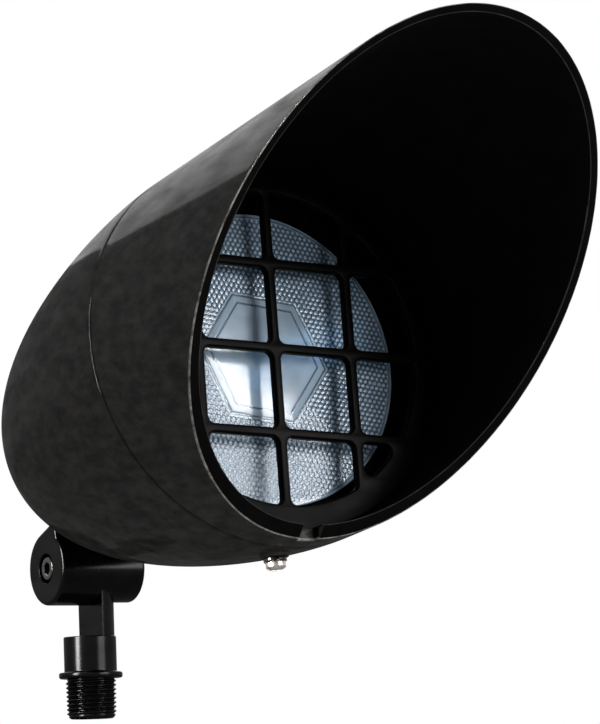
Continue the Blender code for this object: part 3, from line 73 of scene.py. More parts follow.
def linear(code):
    """Linear red, green and blue of an sRGB hex colour."""
    parts = [int(code[i:i + 2], 16) / 255 for i in (0, 2, 4)]
    return tuple(p / 12.92 if p <= 0.04045 else ((p + 0.055) / 1.055) ** 2.4 for p in parts)


def length(default, note):
    """A length in metres that a user may change."""
    return FloatProperty(description=note, default=default, unit="LENGTH", precision=5)


def turn(degrees, note):
    """An angle that a user may change."""
    return FloatProperty(description=note, default=math.radians(degrees), subtype="ANGLE")


def number(default, note):
    """A plain number that a user may change."""
    return FloatProperty(description=note, default=default)


def colour(code, note):
    """A colour that a user may change, given as sRGB hex."""
    return FloatVectorProperty(description=note, default=linear(code), subtype="COLOR", size=3,
                               min=0.0, max=1.0)


def labelled(group):
    """Name every property of a group after its key."""
    for key, prop in group.__annotations__.items():
        prop.keywords["name"] = key.replace("_", " ").capitalize()
    return group


def values(group):
    """The sizes, colours or numbers of a property group."""
    return getattr(bpy.context.scene, "floodlight_" + group)


# Sizes and colours

@labelled
class HeadSizes(bpy.types.PropertyGroup):
    """Sizes of the rear housing and the hood."""
    axis_rise: length(0.04898, "Rise of the housing's axis above the hinge")
    body_radius: length(0.0794, "Outer radius at the seam")
    seam: length(0.1646, "Seam, forward of the hinge")
    dome_depth: length(0.1758, "From the seam back to the pole of the dome")
    wall: length(0.003, "Wall of the dome")
    bore_radius: length(0.0750, "Bore that takes the hood's spigot")
    seam_round: length(0.0009, "Rounding of the edges at the seam")
    seam_gap: length(0.0013, "Width of the shadow gap between housing and hood")
    seam_depth: length(0.0018, "Depth of the shadow gap")
    draft: number(0.0207, "Outward lean of the hood's outer wall")
    inner_draft: number(0.0345, "Outward lean of its inner wall")
    cut: length(0.2604, "Where the oblique cut crosses the axis")
    cut_angle: turn(45, "Slope of the oblique cut")
    clock: turn(-1.1, "Turn of the hood about its axis")
    spigot_radius: length(0.0747, "Outer radius of the spigot")
    spigot_wall: length(0.0032, "Wall of the spigot")
    spigot_length: length(0.0186, "Spigot behind the seam")
    ledge: length(0.1670, "Face that the guard sits on")
    ledge_wall: length(0.004, "Thickness of the ledge")
    ledge_radius: length(0.0653, "Inner radius of the ledge")
    inner_radius: length(0.0744, "Inner radius of the hood at the guard")
    rim_round: length(0.0009, "Rounding of the hood's rim")
    notch_width: length(0.008, "Width of the drain notch")
    notch_depth: length(0.0026, "Depth of the drain notch")


@labelled
class GuardSizes(bpy.types.PropertyGroup):
    """Sizes of the rock guard."""
    radius: length(0.0741, "Outer radius of the ring")
    opening: length(0.0638, "Radius of the field of openings")
    pitch: length(0.0345, "Spacing of the bars")
    bar: length(0.0036, "Width of a bar")
    fillet: length(0.003, "Rounding in the corners of an opening")
    edge: length(0.0009, "Rounding of the bars")
    back: length(0.1673, "Rear face, forward of the hinge")
    front: length(0.1713, "Front face, forward of the hinge")
    clock: turn(-2.9, "Turn of the bars")


@labelled
class LampSizes(bpy.types.PropertyGroup):
    """Sizes of the reflector lamp and the collar round its rim."""
    drop: length(0.004, "How far the lamp sits below the housing's axis")
    lift: length(0.0023, "How far the lens stands over the middle of the bowl")
    radius: length(0.0603, "Radius of the lamp's rim")
    front: length(0.1608, "Flat hexagon, forward of the hinge")
    bulge: length(0.0024, "Height of the lens over its rim")
    glass: length(0.0036, "Thickness of the lens")
    rim: length(0.0062, "Height of the rim's band")
    rise: length(0.00015, "Height of the hexagon over the lens")
    hexagon: length(0.0243, "Corner radius of the flat hexagon")
    border: length(0.0038, "Width of the sloping border round it")
    groove_width: length(0.0003, "Half width of the grooves round the hexagon")
    groove_depth: length(0.0002, "Depth of those grooves")
    clock: turn(-7.5, "Turn of the hexagon")
    stipple: length(0.0022, "Spacing of the pressed dimples")
    stipple_depth: length(0.0004, "Height of a dimple over its valleys")
    stipple_end: length(0.0585, "Radius where the dimples stop")
    focus: length(0.013, "Focal length of the bowl")
    bowl_step: length(0.0017, "From the lamp's rim in to the bowl")
    bowl_band: length(0.0022, "Height of the bowl's own band at the rim")
    bowl_wall: length(0.005, "Wall behind the bowl's vertex")
    neck_radius: length(0.017, "Radius of the bowl's neck")
    neck: length(0.0115, "Length of the bowl's neck")
    hole_radius: length(0.007, "Radius of the hole for the capsule")
    capsule_radius: length(0.0055, "Radius of the capsule")
    capsule_waist: length(0.0178, "From the capsule's foot up to its waist")
    capsule_pinch: length(0.0064, "Radius at the top of the pinched foot")
    capsule_pinch_top: length(0.0152, "Height of the pinched foot")
    capsule_foot: length(0.0066, "Radius of the capsule's foot")
    collar_depth: length(0.0165, "Length of the collar")


@labelled
class KnuckleSizes(bpy.types.PropertyGroup):
    """Sizes of the knuckle and its threaded nipple."""
    ear_radius: length(0.0154, "Radius of the ear's barrel")
    disc_radius: length(0.0142, "Radius of the lower arm's disc")
    half: length(0.0198, "Half of the knuckle's width along the hinge")
    gap: length(0.0003, "Between the two mating faces")
    edge: length(0.0014, "Rounding of the outer edges")
    web_slope: turn(13, "Slope of the web's top")
    web_reach: length(0.0113, "Front face of the web, forward of the hinge")
    bore_radius: length(0.0062, "Radius of the counterbore")
    bore_depth: length(0.0072, "Depth of the counterbore")
    bore_round: length(0.0004, "Rounding of the counterbore's lip")
    hub_radius: length(0.009, "Hollow round the hinge screw")
    hub_depth: length(0.0088, "Depth of that hollow")
    groove_radius: length(0.0130, "Outer radius of the seal's groove")
    groove_inner: length(0.0110, "Inner radius of the seal's groove")
    groove_depth: length(0.0015, "Depth of the seal's groove")
    screw_radius: length(0.0029, "Radius of the hinge screw")
    screw_end: length(0.015, "Point of the hinge screw, along the hinge")
    head_radius: length(0.0048, "Radius of the screw's head")
    head: length(0.005, "Height of the screw's head")
    head_seat: length(0.0144, "Underside of the head, along the hinge")
    key_radius: length(0.0028, "Corner radius of the hexagon socket")
    key_depth: length(0.0026, "Depth of the hexagon socket")
    neck_radius: length(0.0104, "Radius of the half-round neck")
    neck_flat: length(0.00065, "Flat of the neck, from the stem's axis")
    neck_lap: length(0.001, "How far the neck runs into the sleeve and the disc")
    sleeve_radius: length(0.011, "Radius of the sleeve")
    sleeve_top: length(0.0175, "Height of the sleeve")
    flange_radius: length(0.0133, "Radius of the flange")
    flange: length(0.0026, "Thickness of the flange")
    thread_root: length(0.0097, "Root radius of the pipe thread")
    thread_crest: length(0.0106, "Crest radius of the pipe thread")
    thread_pitch: length(0.001814, "Pitch of a 1/2 inch pipe thread")
    thread_start: length(0.0012, "Depth in which the thread grows to its height")
    thread_fade: length(0.0014, "Depth in which it fades out")
    plain_end: length(0.0006, "Plain end of the nipple")
    nipple: length(0.0168, "Length of the threaded nipple")
    nipple_bore: length(0.0064, "Radius of its bore")
    bore_top: length(0.013, "Height where the bore ends")


@labelled
class LockSizes(bpy.types.PropertyGroup):
    """Sizes of the screw that locks the hood."""
    place: length(0.1515, "Screw, forward of the hinge")
    boss_radius: length(0.0055, "Radius of the boss under the screw")
    boss: length(0.0008, "Height of the boss over the housing")
    boss_root: length(0.0015, "How far the boss runs into the housing")
    washer_radius: length(0.00465, "Radius of the washer")
    washer: length(0.0012, "Thickness of the washer")
    screw_radius: length(0.0024, "Radius of the shank")
    head_radius: length(0.004, "Radius of the head")
    head: length(0.0032, "Height of the head")
    slot: length(0.0011, "Width of the slot")
    point: length(0.0734, "Point of the screw, from the axis")
    point_length: length(0.0018, "Length of the screw's point")
    point_radius: length(0.0008, "Radius of the point's end")


@labelled
class Finishes(bpy.types.PropertyGroup):
    """Colours of the finishes."""
    coat: colour("202020", "Powder coat of the castings")
    coat_worn: colour("31302F", "Paler clouds in the powder coat")
    inside: colour("030303", "Flat black inside the hood")
    guard: colour("020202", "Black of the rock guard")
    # Also laid on the housing's ear as painted shade
    enamel: colour("040404", "Gloss black of the knuckle")
    rubber: colour("020202", "Black silicone rubber")
    # Painted light of the lens: highlights on its dimples' crowns and shade in their valleys
    glass: colour("D2E5F4", "Crowns of the pressed glass")
    glass_valley_shade: colour("4A647B", "Valleys between its dimples")
    mirror: colour("DDE2E6", "Aluminised reflector")


@labelled
class StageSizes(bpy.types.PropertyGroup):
    """Light, camera and floor."""
    lens: number(236.25, "Focal length in millimetres")
    camera: FloatVectorProperty(description="Place of the camera", subtype="TRANSLATION",
                                default=(-0.9433, -1.7527, -0.07585))
    towards: FloatVectorProperty(description="Direction from the object to the camera",
                                 default=(-0.51126, -0.85324, -0.10297), precision=5)
    roll: turn(-1.898, "Roll of the camera")
    floor: length(-0.017, "Height of the floor")
    floor_size: length(8.0, "Width of the floor")
    key_power: number(115.0, "Power of the large lamp in watts")
    fill_power: number(4.4, "Strength of the front light")
    sky: number(0.3, "Strength of the world on matt surfaces")


# Surfaces

def round_angles(count):
    """Angles once round, evenly spaced."""
    return np.linspace(0.0, TURN, count, endpoint=False)


def ray(angles):
    """Unit vectors in the plane at each angle."""
    return np.stack([np.cos(angles), np.sin(angles)], axis=-1)


def spin(clock):
    """Matrix that turns rows of plane points by an angle."""
    return np.array([ray(clock), ray(clock + math.pi / 2)])


def lathe(rows, angles):
    """Turned surface with points (r cos a, r sin a, z), about a row's own centre if it has one.

    Each row gives a radius and a height, both one number or one for every angle.
    """
    columns = []
    for radius, height, *centre in rows:
        flat = ray(angles) * np.broadcast_to(radius, angles.shape)[:, None]
        tall = np.broadcast_to(height, angles.shape)[:, None]
        columns.append(np.concatenate([flat + (centre or [0.0])[0], tall], axis=-1))
    return np.stack(columns, axis=1)


def rounding(start, corner, end, steps=4):
    """Quadratic curve that leaves start towards the corner and comes from there to the end."""
    start, corner, end = (np.asarray(p, float) for p in (start, corner, end))
    share = np.linspace(0.0, 1.0, steps + 1).reshape(-1, *[1] * start.ndim)
    return (1 - share) ** 2 * start + 2 * share * (1 - share) * corner + share ** 2 * end


def rounded(points, radii, steps=4, closed=False):
    """Polyline with corners rounded by the given sizes, each held by a point on each side."""
    points = [np.asarray(p, float) for p in points]
    count = len(points)
    made = []
    for i, (corner, size) in enumerate(zip(points, radii)):
        if not size or not (closed or 0 < i < count - 1):
            made.append(corner[None])
            continue
        before, after = points[i - 1] - corner, points[(i + 1) % count] - corner
        before = before / np.linalg.norm(before) * size
        after = after / np.linalg.norm(after) * size
        made += [[corner + HOLD * before],
                 rounding(corner + before, corner, corner + after, steps),
                 [corner + HOLD * after]]
    return np.concatenate(made)


def placed(grid, directions, origin):
    """Grid whose x, y and z run along three directions from an origin."""
    return grid @ np.array(directions) + origin


def weave(grid, ring=False):
    """Quads and triangles of a grid that closes in its first direction.

    A ring closes in its second direction too, and otherwise an end that falls together is a pole.
    """
    rows, columns = grid.shape[:2]
    index = np.arange(rows * columns).reshape(rows, columns)
    if ring:
        index = np.hstack([index, index[:, :1]])
    else:
        for end in (0, -1):
            if np.ptp(grid[:, end], axis=0).max() < 1e-9:
                index[:, end] = index[0, end]
    after = np.roll(index, -1, axis=0)
    quads = np.stack([index[:, :-1], index[:, 1:], after[:, 1:], after[:, :-1]], axis=-1)
    quads = quads.reshape(-1, 4)
    at_start = quads[:, 0] == quads[:, 3]
    at_end = quads[:, 1] == quads[:, 2]
    triangles = np.concatenate([quads[at_start][:, [0, 1, 2]], quads[at_end][:, [0, 1, 3]]])
    return quads[~(at_start | at_end)], triangles


def make_piece(name, shells, finishes, body, node, crease=CREASE):
    """One object from closed shells of (grid, ring, finish)."""
    points, faces, marks = [], [], []
    start = 0
    for grid, ring, finish in shells:
        for group in weave(grid, ring):
            faces.append(group + start)
            marks += [finish] * len(group)
        points.append(grid.reshape(-1, 3))
        start += len(points[-1])
    mesh = make_mesh(name, np.concatenate(points), faces)
    mesh.polygons.foreach_set("material_index", marks)
    return show_piece(name, mesh, finishes, body, node, crease)


def make_mesh(name, points, faces):
    """Mesh from points and groups of faces, without the points that no face has."""
    used = np.unique(np.concatenate([group.ravel() for group in faces]))
    listed = []
    for group in faces:
        listed += np.searchsorted(used, group).tolist()
    mesh = bpy.data.meshes.new(name)
    mesh.from_pydata(points[used].tolist(), [], listed)
    return mesh


def show_piece(name, mesh, finishes, body, node, crease=CREASE):
    """One object with its finishes, which rides on a body and stands for a node of the CAD."""
    for finish in finishes:
        mesh.materials.append(use_finish(finish))
    mesh.shade_smooth()
    mesh.set_sharp_from_angle(angle=crease)
    piece = bpy.data.objects.new(name, mesh)
    bpy.context.scene.collection.objects.link(piece)
    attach(piece, body)
    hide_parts(node)
    return piece


# Materials

SMUDGE_SIZE = 0.014           # of the greasy smudges in a gloss skin
SMUDGE_STRETCH = (1.0, 0.45, 1.6)


def fill(tree, node, inputs):
    """Set each named input of a node, or link it where the value is a socket."""
    for key, value in inputs.items():
        if isinstance(value, bpy.types.NodeSocket):
            tree.links.new(value, node.inputs[key])
        else:
            node.inputs[key].default_value = value


def add(tree, kind, inputs=None, **settings):
    """Add a shader node with its settings and inputs."""
    node = tree.nodes.new(kind)
    for key, value in settings.items():
        setattr(node, key, value)
    fill(tree, node, inputs or {})
    return node


def new_material(name, **constants):
    """A material with a Principled shader whose constant sockets are set."""
    material = bpy.data.materials.new(name)
    material.use_nodes = True
    tree = material.node_tree
    shader = tree.nodes["Principled BSDF"]
    fill(tree, shader, {key.replace("_", " "): value for key, value in constants.items()})
    return material, tree, shader


def opaque(tone):
    """Full alpha for a linear colour, or for an sRGB hex one."""
    return (*(linear(tone) if isinstance(tone, str) else tone), 1.0)


def cloud(tree, size, detail=2.0, stretch=(1.0, 1.0, 1.0), roughness=0.5):
    """Noise whose features are a real size across, in object coordinates."""
    place = add(tree, "ShaderNodeTexCoord").outputs["Object"]
    scaled = add(tree, "ShaderNodeMapping", {"Vector": place, "Scale": stretch}).outputs["Vector"]
    return add(tree, "ShaderNodeTexNoise",
               {"Vector": scaled, "Scale": 1.0 / size, "Detail": detail,
                "Roughness": roughness}).outputs["Fac"]


def spread(tree, value, low=0.0, high=1.0, start=0.3, end=0.7):
    """A value spread from one range to another."""
    return add(tree, "ShaderNodeMapRange", {"Value": value, "From Min": start, "From Max": end,
                                            "To Min": low, "To Max": high}).outputs["Result"]


def between(tree, share, first, second):
    """Mix of two colours."""
    return add(tree, "ShaderNodeMix", {"Factor": share, "A": opaque(first), "B": opaque(second)},
               data_type="RGBA").outputs["Result"]


def relief(tree, height, depth):
    """Bump of a real depth."""
    return add(tree, "ShaderNodeBump", {"Height": height, "Distance": depth}).outputs["Normal"]


def painted(name, dark, pale, cloud_size, rough, grain, grain_depth, stretch=(1.0, 1.0, 1.0),
            skin=None, **constants):
    """Paint: two tones in soft clouds, wandering roughness, a fine grain and a smudged skin."""
    material, tree, shader = new_material(name, **constants)
    if skin:
        smudge = cloud(tree, SMUDGE_SIZE, 4.0, SMUDGE_STRETCH)
        fill(tree, shader, {"Coat Weight": spread(tree, smudge, *skin)})
    share = spread(tree, cloud(tree, cloud_size, 6.0, stretch, 0.62), start=0.36, end=0.66)
    fill(tree, shader, {
        "Base Color": between(tree, share, dark, pale),
        "Roughness": spread(tree, cloud(tree, 2.5 * cloud_size), *rough),
        "Normal": relief(tree, cloud(tree, grain), grain_depth)})
    return material


def metal(name, code, rough, grain, depth, stretch=(1.0, 1.0, 1.0)):
    """Bare metal: its colour dulled by a fifth in clouds, with fine tool marks."""
    material, tree, shader = new_material(name, Metallic=1.0)
    bright = linear(code)
    dull = [0.8 * part for part in bright]
    marks = cloud(tree, grain, 2.0, stretch)
    fill(tree, shader, {
        "Base Color": between(tree, spread(tree, cloud(tree, 0.004, 3.0)), bright, dull),
        "Roughness": spread(tree, marks, *rough), "Normal": relief(tree, marks, depth)})
    return material


def vinyl(name, dark, pale):
    """Vinyl insulation: semi-gloss, drawn smooth."""
    return painted(name + "_vinyl_insulation", dark, pale, 0.004, (0.4, 0.5), 0.0008, 0.00001)


def pressed_glass(crown, valley_shade):
    """Pressed borosilicate glass: painted highlights on the dimples, painted blue shade between.
    """
    material, tree, shader = new_material("pressed_borosilicate_glass", Roughness=0.14, IOR=1.47,
                                          Transmission_Weight=0.6)
    # The crown attribute is painted highlight and shade
    height = add(tree, "ShaderNodeAttribute", attribute_name="crown").outputs["Fac"]
    # Soft patches of painted shade for the parts seen through the glass
    seen_through_shade = spread(tree, cloud(tree, 0.012, 1.0), 0.7, 1.0, 0.38, 0.58)
    share = add(tree, "ShaderNodeMath", {0: height, 1: seen_through_shade}, operation="MULTIPLY")
    fill(tree, shader, {"Base Color": between(tree, share.outputs["Value"], valley_shade, crown),
                        "Normal": relief(tree, cloud(tree, 0.004, 1.0), 0.00003)})
    return material


def mirror_coat(tone):
    """Aluminium vapour on glass: a mirror with a slight haze."""
    material, tree, shader = new_material("vapour_deposited_aluminium", Metallic=1.0)
    haze = cloud(tree, 0.008, 3.0)
    fill(tree, shader, {"Base Color": between(tree, spread(tree, haze), tone, "B8C4CE"),
                        "Roughness": spread(tree, haze, 0.08, 0.16)})
    return material


def make_materials():
    """Every finish of the floodlight, by its short name."""
    tones = values("finishes")
    return {
        # Powder coat over a pressure die casting: satin, in faint clouds, with a thin gloss skin
        "powder_coat": painted("powder_coated_cast_aluminium", tones.coat, tones.coat_worn, 0.006,
                               (0.50, 0.62), 0.0006, 0.000012, (1.0, 0.6, 1.4), (0.03, 0.065),
                               Specular_IOR_Level=0.0, Coat_Roughness=0.1),
        # The same coat rubbed thin along the hood's rim: paler, and broken up by nicks; the
        # paleness also paints the rim's highlight
        "rubbed_coat_and_rim_highlight": painted("rubbed_powder_coat_and_rim_highlight", "2E2D2C", "84827E", 0.005, (0.4, 0.5), 0.0006,
                               0.00002, skin=(0.05, 0.2), Specular_IOR_Level=0.0,
                               Coat_Roughness=0.1),
        # Flat coat inside the hood: swallows stray light, so almost nothing comes back; laid on
        # the rim's cut face too, as painted shade
        "baffle_and_rim_shade_coat": painted("flat_black_baffle_and_rim_shade_coat", tones.inside, "060606", 0.012,
                               (0.75, 0.9), 0.0005, 0.00002, Specular_IOR_Level=0.02),
        # Electro-coated guard: satin black with a slight brown cast
        "guard_coat": painted("electrocoated_cast_guard", tones.guard, "050302", 0.006,
                              (0.30, 0.42), 0.0005, 0.000015, Specular_IOR_Level=0.02),
        # Dipped enamel on the knuckle: deep gloss over a slightly uneven casting; also laid on the
        # housing's ear as painted shade
        "enamel": painted("gloss_enamelled_cast_aluminium", tones.enamel, "090909", 0.008,
                          (0.16, 0.26), 0.0018, 0.000006, skin=(0.12, 0.18),
                          Specular_IOR_Level=0.0, Coat_Roughness=0.2),
        # Silicone rubber: matt, with a dusty bloom
        "rubber": painted("moulded_silicone_rubber", tones.rubber, "050505", 0.004, (0.7, 0.85),
                          0.0004, 0.00002, Specular_IOR_Level=0.0),
        # Turned stainless steel: bright, with fine circular tool marks
        "stainless": metal("turned_stainless_steel", "C9C2BA", (0.18, 0.34), 0.0004, 0.000008),
        # Black oxide on steel: almost black, and still takes a sharp glint; on the lock washer its
        # darkness is painted shade
        "oxide_and_washer_shade": metal("black_oxide_steel", "3C3A38", (0.14, 0.24), 0.0004, 0.000008),
        # Zinc plating: greyer and a little cloudy
        "zinc": metal("zinc_plated_steel", "B4B8BC", (0.32, 0.48), 0.0008, 0.00001),
        # Brass stampings: warm, slightly dulled
        "brass": metal("stamped_brass", "C9A25A", (0.25, 0.42), 0.0006, 0.00001),
        # Drawn aluminium of the lamp's base: soft grey with draw lines along its length
        "base_metal": metal("drawn_aluminium", "C6C2B4", (0.28, 0.42), 0.0006, 0.00001,
                            (6.0, 1.0, 6.0)),
        # Soft solder: dull grey and lumpy
        "solder": metal("tin_solder", "9C9C98", (0.4, 0.6), 0.0012, 0.00006),
        # Porcelain: white body under a clear glaze
        "porcelain": painted("glazed_porcelain", "E4E0D4", "D6D0C0", 0.01, (0.12, 0.22), 0.002,
                             0.00002, Coat_Weight=0.5, Coat_Roughness=0.05),
        # Acid-etched glass: milky, scatters light evenly
        "frosted": painted("acid_etched_glass", "D8DAD6", "C8CCCA", 0.005, (0.4, 0.55), 0.0005,
                           0.00001, Transmission_Weight=0.3),
        # Black glass cone: smooth and jet black
        "black_glass": painted("black_vitrite_glass", "08080A", "101014", 0.004, (0.08, 0.16),
                               0.001, 0.00001),
        "lead_black": vinyl("black", "101010", "181818"),
        "lead_white": vinyl("white", "DEDCD4", "CFCCC2"),
        "lead_green": vinyl("green", "1E6A34", "185A2C"),
        # Pressed glass whose colour paints highlights on its dimples and shade between them
        "glass": pressed_glass(tones.glass, tones.glass_valley_shade),
        "mirror": mirror_coat(tones.mirror),
    }


def use_finish(name):
    """A finish by its short name, made once."""
    if not MATERIALS:
        MATERIALS.update(make_materials())
    return MATERIALS[name]


MATERIALS = {}


# Places

def head_origin():
    """Point of the housing's axis above the hinge."""
    return HINGE + values("head").axis_rise * UP


def lamp_origin():
    """Point of the lamp's axis above the hinge."""
    return head_origin() - values("lamp").drop * UP


def on_head(grid):
    """Grid given across, up and forward from the housing's axis."""
    return placed(grid, (ACROSS, UP, FORWARD), head_origin())


def on_lamp(grid):
    """Grid given across, up and forward from the lamp's axis."""
    return placed(grid, (ACROSS, UP, FORWARD), lamp_origin())


def along_lock(profile, count):
    """Surface turned about the lock screw, with heights from the housing's axis down."""
    return under_head(lathe(profile, round_angles(count)))


def under_head(grid):
    """Grid given across, forward and down from the housing's axis, at the lock screw."""
    origin = head_origin() + values("lock").place * FORWARD
    return placed(grid, (ACROSS, FORWARD, -UP), origin)


def on_ear(grid):
    """Grid given forward, up and out along the hinge, to the ear's side."""
    return placed(grid, (FORWARD, UP, -ACROSS), HINGE)


# Rear housing

DOME_HEIGHT_POWER = 1.49
DOME_RADIUS_POWER = 2.39
LEAST_COSINE = 0.05           # keeps the ear's straight sides from running off
WEB_NEAR, WEB_FAR = 0.008, 0.03   # distances from the hinge where the web may meet the dome


def dome_skin(radius, depth, seam, steps):
    """Dome from seam to pole: radius R sin t, height seam - D (1 - sin(t)^2.39)^(1 / 1.49)."""
    share = np.sin(np.linspace(math.pi / 2, 0.0, steps))
    height = seam - depth * (1.0 - share ** DOME_RADIUS_POWER) ** (1.0 / DOME_HEIGHT_POWER)
    return np.stack([radius * share, height], axis=-1)


def dome_shell():
    """Turned wall of the housing: inner skin, bore for the spigot, seam face and outer skin."""
    head = values("head")
    outer = dome_skin(head.body_radius, head.dome_depth, head.seam, 90)
    outer = outer[outer[:, 1] < head.seam - head.seam_round]
    inner = dome_skin(head.body_radius - head.wall, head.dome_depth - head.wall, head.seam, 60)
    inner = inner[::-1][inner[::-1, 0] < head.bore_radius]
    bore = [(head.bore_radius, inner[-1, 1]), (head.bore_radius, head.seam)]
    edge = rounding((head.body_radius - head.seam_round, head.seam),
                    (head.body_radius, head.seam), outer[0], 5)[:-1]
    return lathe(np.concatenate([inner, bore, edge, outer]), round_angles(192))


def ear_reach(angles, inset, out):
    """Distance of the ear's outline from the hinge: its barrel, or the web up to the dome."""
    knuckle, head = values("knuckle"), values("head")
    radius = knuckle.ear_radius - inset
    slope = math.pi / 2 + knuckle.web_slope
    front = math.acos(knuckle.web_reach / knuckle.ear_radius)
    web = (angles > front) & (angles < slope)
    top = radius / np.maximum(np.cos(angles - slope), LEAST_COSINE)
    face = (knuckle.web_reach - inset) / np.maximum(np.cos(angles), LEAST_COSINE)
    steps = np.linspace(WEB_NEAR, WEB_FAR, 220)
    forward = np.cos(angles)[:, None] * steps
    rise = np.sin(angles)[:, None] * steps
    share = np.clip((head.seam - forward) / head.dome_depth, 0.0, 1.0)
    dome = (1.0 - share ** DOME_HEIGHT_POWER) ** (1.0 / DOME_RADIUS_POWER)
    dome = dome * (head.body_radius - head.wall / 2)
    under = head.axis_rise - np.sqrt(np.maximum(dome ** 2 - out ** 2, 0.0))
    inside = (rise > under) & (dome > abs(out))
    first = np.where(inside.any(axis=1), steps[inside.argmax(axis=1)], steps[-1])
    return np.where(web, np.minimum(np.minimum(top, face), first), radius)


def ear_shell():
    """Ear of the knuckle: outline drawn round the hinge, carried along it and rounded outside."""
    knuckle = values("knuckle")
    angles = round_angles(240)
    inner = knuckle.gap / 2
    hub = inner + knuckle.hub_depth
    half, edge = knuckle.half, knuckle.edge
    floor = half - knuckle.bore_depth
    hole = knuckle.screw_radius + FIT
    bore, lip = knuckle.bore_radius, knuckle.bore_round
    rows = [(hole, hub), (hole, floor), (bore, floor),
            *rounding((bore, half - lip), (bore, half), (bore + lip, half), 3),
            (bore + 1.5 * lip, half), (ear_reach(angles, HOLD * edge, half), half)]
    for bend in np.linspace(0.0, math.pi / 2, 7):
        out = half - edge * (1.0 - math.cos(bend))
        rows.append((ear_reach(angles, edge * (1.0 - math.sin(bend)), out), out))
    for out in np.linspace(half - edge, inner, 14)[1:]:
        rows.append((ear_reach(angles, 0.0, out), out))
    return on_ear(lathe(rows + [(knuckle.hub_radius, inner), (knuckle.hub_radius, hub)], angles))


def lock_boss_shell():
    """Low round boss under the housing, with the hole for the lock screw."""
    head, lock = values("head"), values("lock")
    top = head.body_radius + lock.boss
    low = head.body_radius - lock.boss_root
    hole = lock.screw_radius + FIT
    foot = lock.boss_radius + lock.boss
    return along_lock(rounded([(hole, low), (hole, top), (lock.boss_radius, top), (foot, low)],
                              [0, 0.0003, 0.0005, 0], 4), 64)


class FLOODLIGHT_OT_rear_housing(bpy.types.Operator):
    """Dome casting with the ear of the knuckle and the boss of the lock screw."""
    bl_idname = "floodlight.rear_housing"
    bl_label = "Rear housing"

    def execute(self, context):
        # The ear is one casting with the dome; its darker enamel is painted shade
        shells = [(on_head(dome_shell()), False, 0), (ear_shell(), True, 1),
                  (lock_boss_shell(), True, 0)]
        make_piece("rear_housing_casting", shells, ["powder_coat", "enamel"], "head",
                   "rear_housing")
        return {"FINISHED"}


# Hood

NOTCH_ANGLES = 0.062          # half of the stretch, in radians, that is finer at the notch
NOTCH_STEP = 0.013            # first step beyond it
NOTCH_EDGE = 0.0002           # half of the slope at each side of the notch


def hood_angles():
    """Angles round the hood, closer together at the drain notch."""
    notch = np.linspace(-NOTCH_ANGLES, NOTCH_ANGLES, 61)
    start = NOTCH_ANGLES + NOTCH_STEP
    even = np.linspace(start, TURN - start, 280)
    return np.concatenate([notch, even]) - math.pi / 2


def hood_cut_height(start_radius, start, lean, angles):
    """Height where a drafted wall meets the oblique plane, lowered in the drain notch.

    The plane is z = C + y tan(cut) and the wall has radius R + k (z - z0), so along the line at
    angle a the height is (C + t s (R - k z0)) / (1 - t s k), with s = sin a and t = tan(cut).
    """
    head = values("head")
    slope = math.tan(head.cut_angle)
    steep = slope * np.sin(angles)
    height = (head.cut + steep * (start_radius - lean * start)) / (1.0 - steep * lean)
    radius = start_radius + lean * (height - start)
    lip = (head.body_radius + head.draft * (head.cut - head.seam)) / (1.0 + head.draft * slope)
    floor = head.cut - lip * slope - head.notch_depth
    across = np.abs(radius * np.cos(angles))
    window = (head.notch_width / 2 + NOTCH_EDGE - across) / (2 * NOTCH_EDGE)
    window = np.where(np.sin(angles) < 0, np.clip(window, 0.0, 1.0), 0.0)
    return height + (floor - height) * window * window * (3 - 2 * window)


def hood_rows(angles):
    """Rows of the hood from its rim down the outside, round the spigot and up the inside."""
    head = values("head")
    front = values("guard").front
    rear = head.seam + head.seam_gap
    turn_in = head.seam_round
    bend = head.rim_round
    outer_end = hood_cut_height(head.body_radius, head.seam, head.draft, angles)
    inner_end = hood_cut_height(head.inner_radius, front, head.inner_draft, angles)

    def outer(height):
        return head.body_radius + head.draft * (height - head.seam)

    def inner(height):
        return head.inner_radius + head.inner_draft * (height - front)

    rows = []
    for share in np.linspace(0.0, 1.0, 40):
        height = (outer_end - bend) * (1 - share) + (rear + turn_in) * share
        rows.append((outer(height), height))
    rows += list(rounding((outer(rear + turn_in), rear + turn_in), (outer(rear), rear),
                          (outer(rear) - turn_in, rear), 5))[1:]
    back = head.seam - head.spigot_length
    spigot = head.spigot_radius
    bore = spigot - head.spigot_wall
    under = head.ledge - head.ledge_wall
    step = head.body_radius - head.seam_depth
    close = head.seam + FIT
    blunt, lip = 0.0006, 0.0005
    rows += [(step, rear), (step, close), (spigot, close), (spigot, back + blunt),
             (spigot - blunt, back), (bore, back), (bore, under), (head.ledge_radius, under),
             (head.ledge_radius, head.ledge - lip), (head.ledge_radius + lip, head.ledge),
             (head.inner_radius, head.ledge), (head.inner_radius, front)]
    for share in np.linspace(0.0, 1.0, 40)[1:]:
        height = front * (1 - share) + (inner_end - bend) * share
        rows.append((inner(height), height))
    outer_edge = np.stack([outer(outer_end), outer_end])
    inner_edge = np.stack([inner(inner_end), inner_end])
    side = outer_edge - inner_edge
    side *= bend / np.linalg.norm(side, axis=0)
    down = np.array([[0.0], [bend]])
    return [*rows, *rounding(inner_edge - down, inner_edge, inner_edge + side)[1:],
            *rounding(outer_edge - side, outer_edge, outer_edge - down)[:-1]]


class FLOODLIGHT_OT_hood(bpy.types.Operator):
    """Hood casting, black on its outside and flat black within, with painted light on its rim."""
    bl_idname = "floodlight.hood"
    bl_label = "Hood"

    def execute(self, context):
        angles = hood_angles()
        shell = lathe(hood_rows(angles), angles + context.scene.floodlight_head.clock)
        hood = make_piece("front_hood_casting", [(on_head(shell), True, 0)],
                          ["powder_coat", "baffle_and_rim_shade_coat", "rubbed_coat_and_rim_highlight"], "head",
                          "front_hood")
        paint_inside_rim_shade_and_highlight(hood.data)
        return {"FINISHED"}


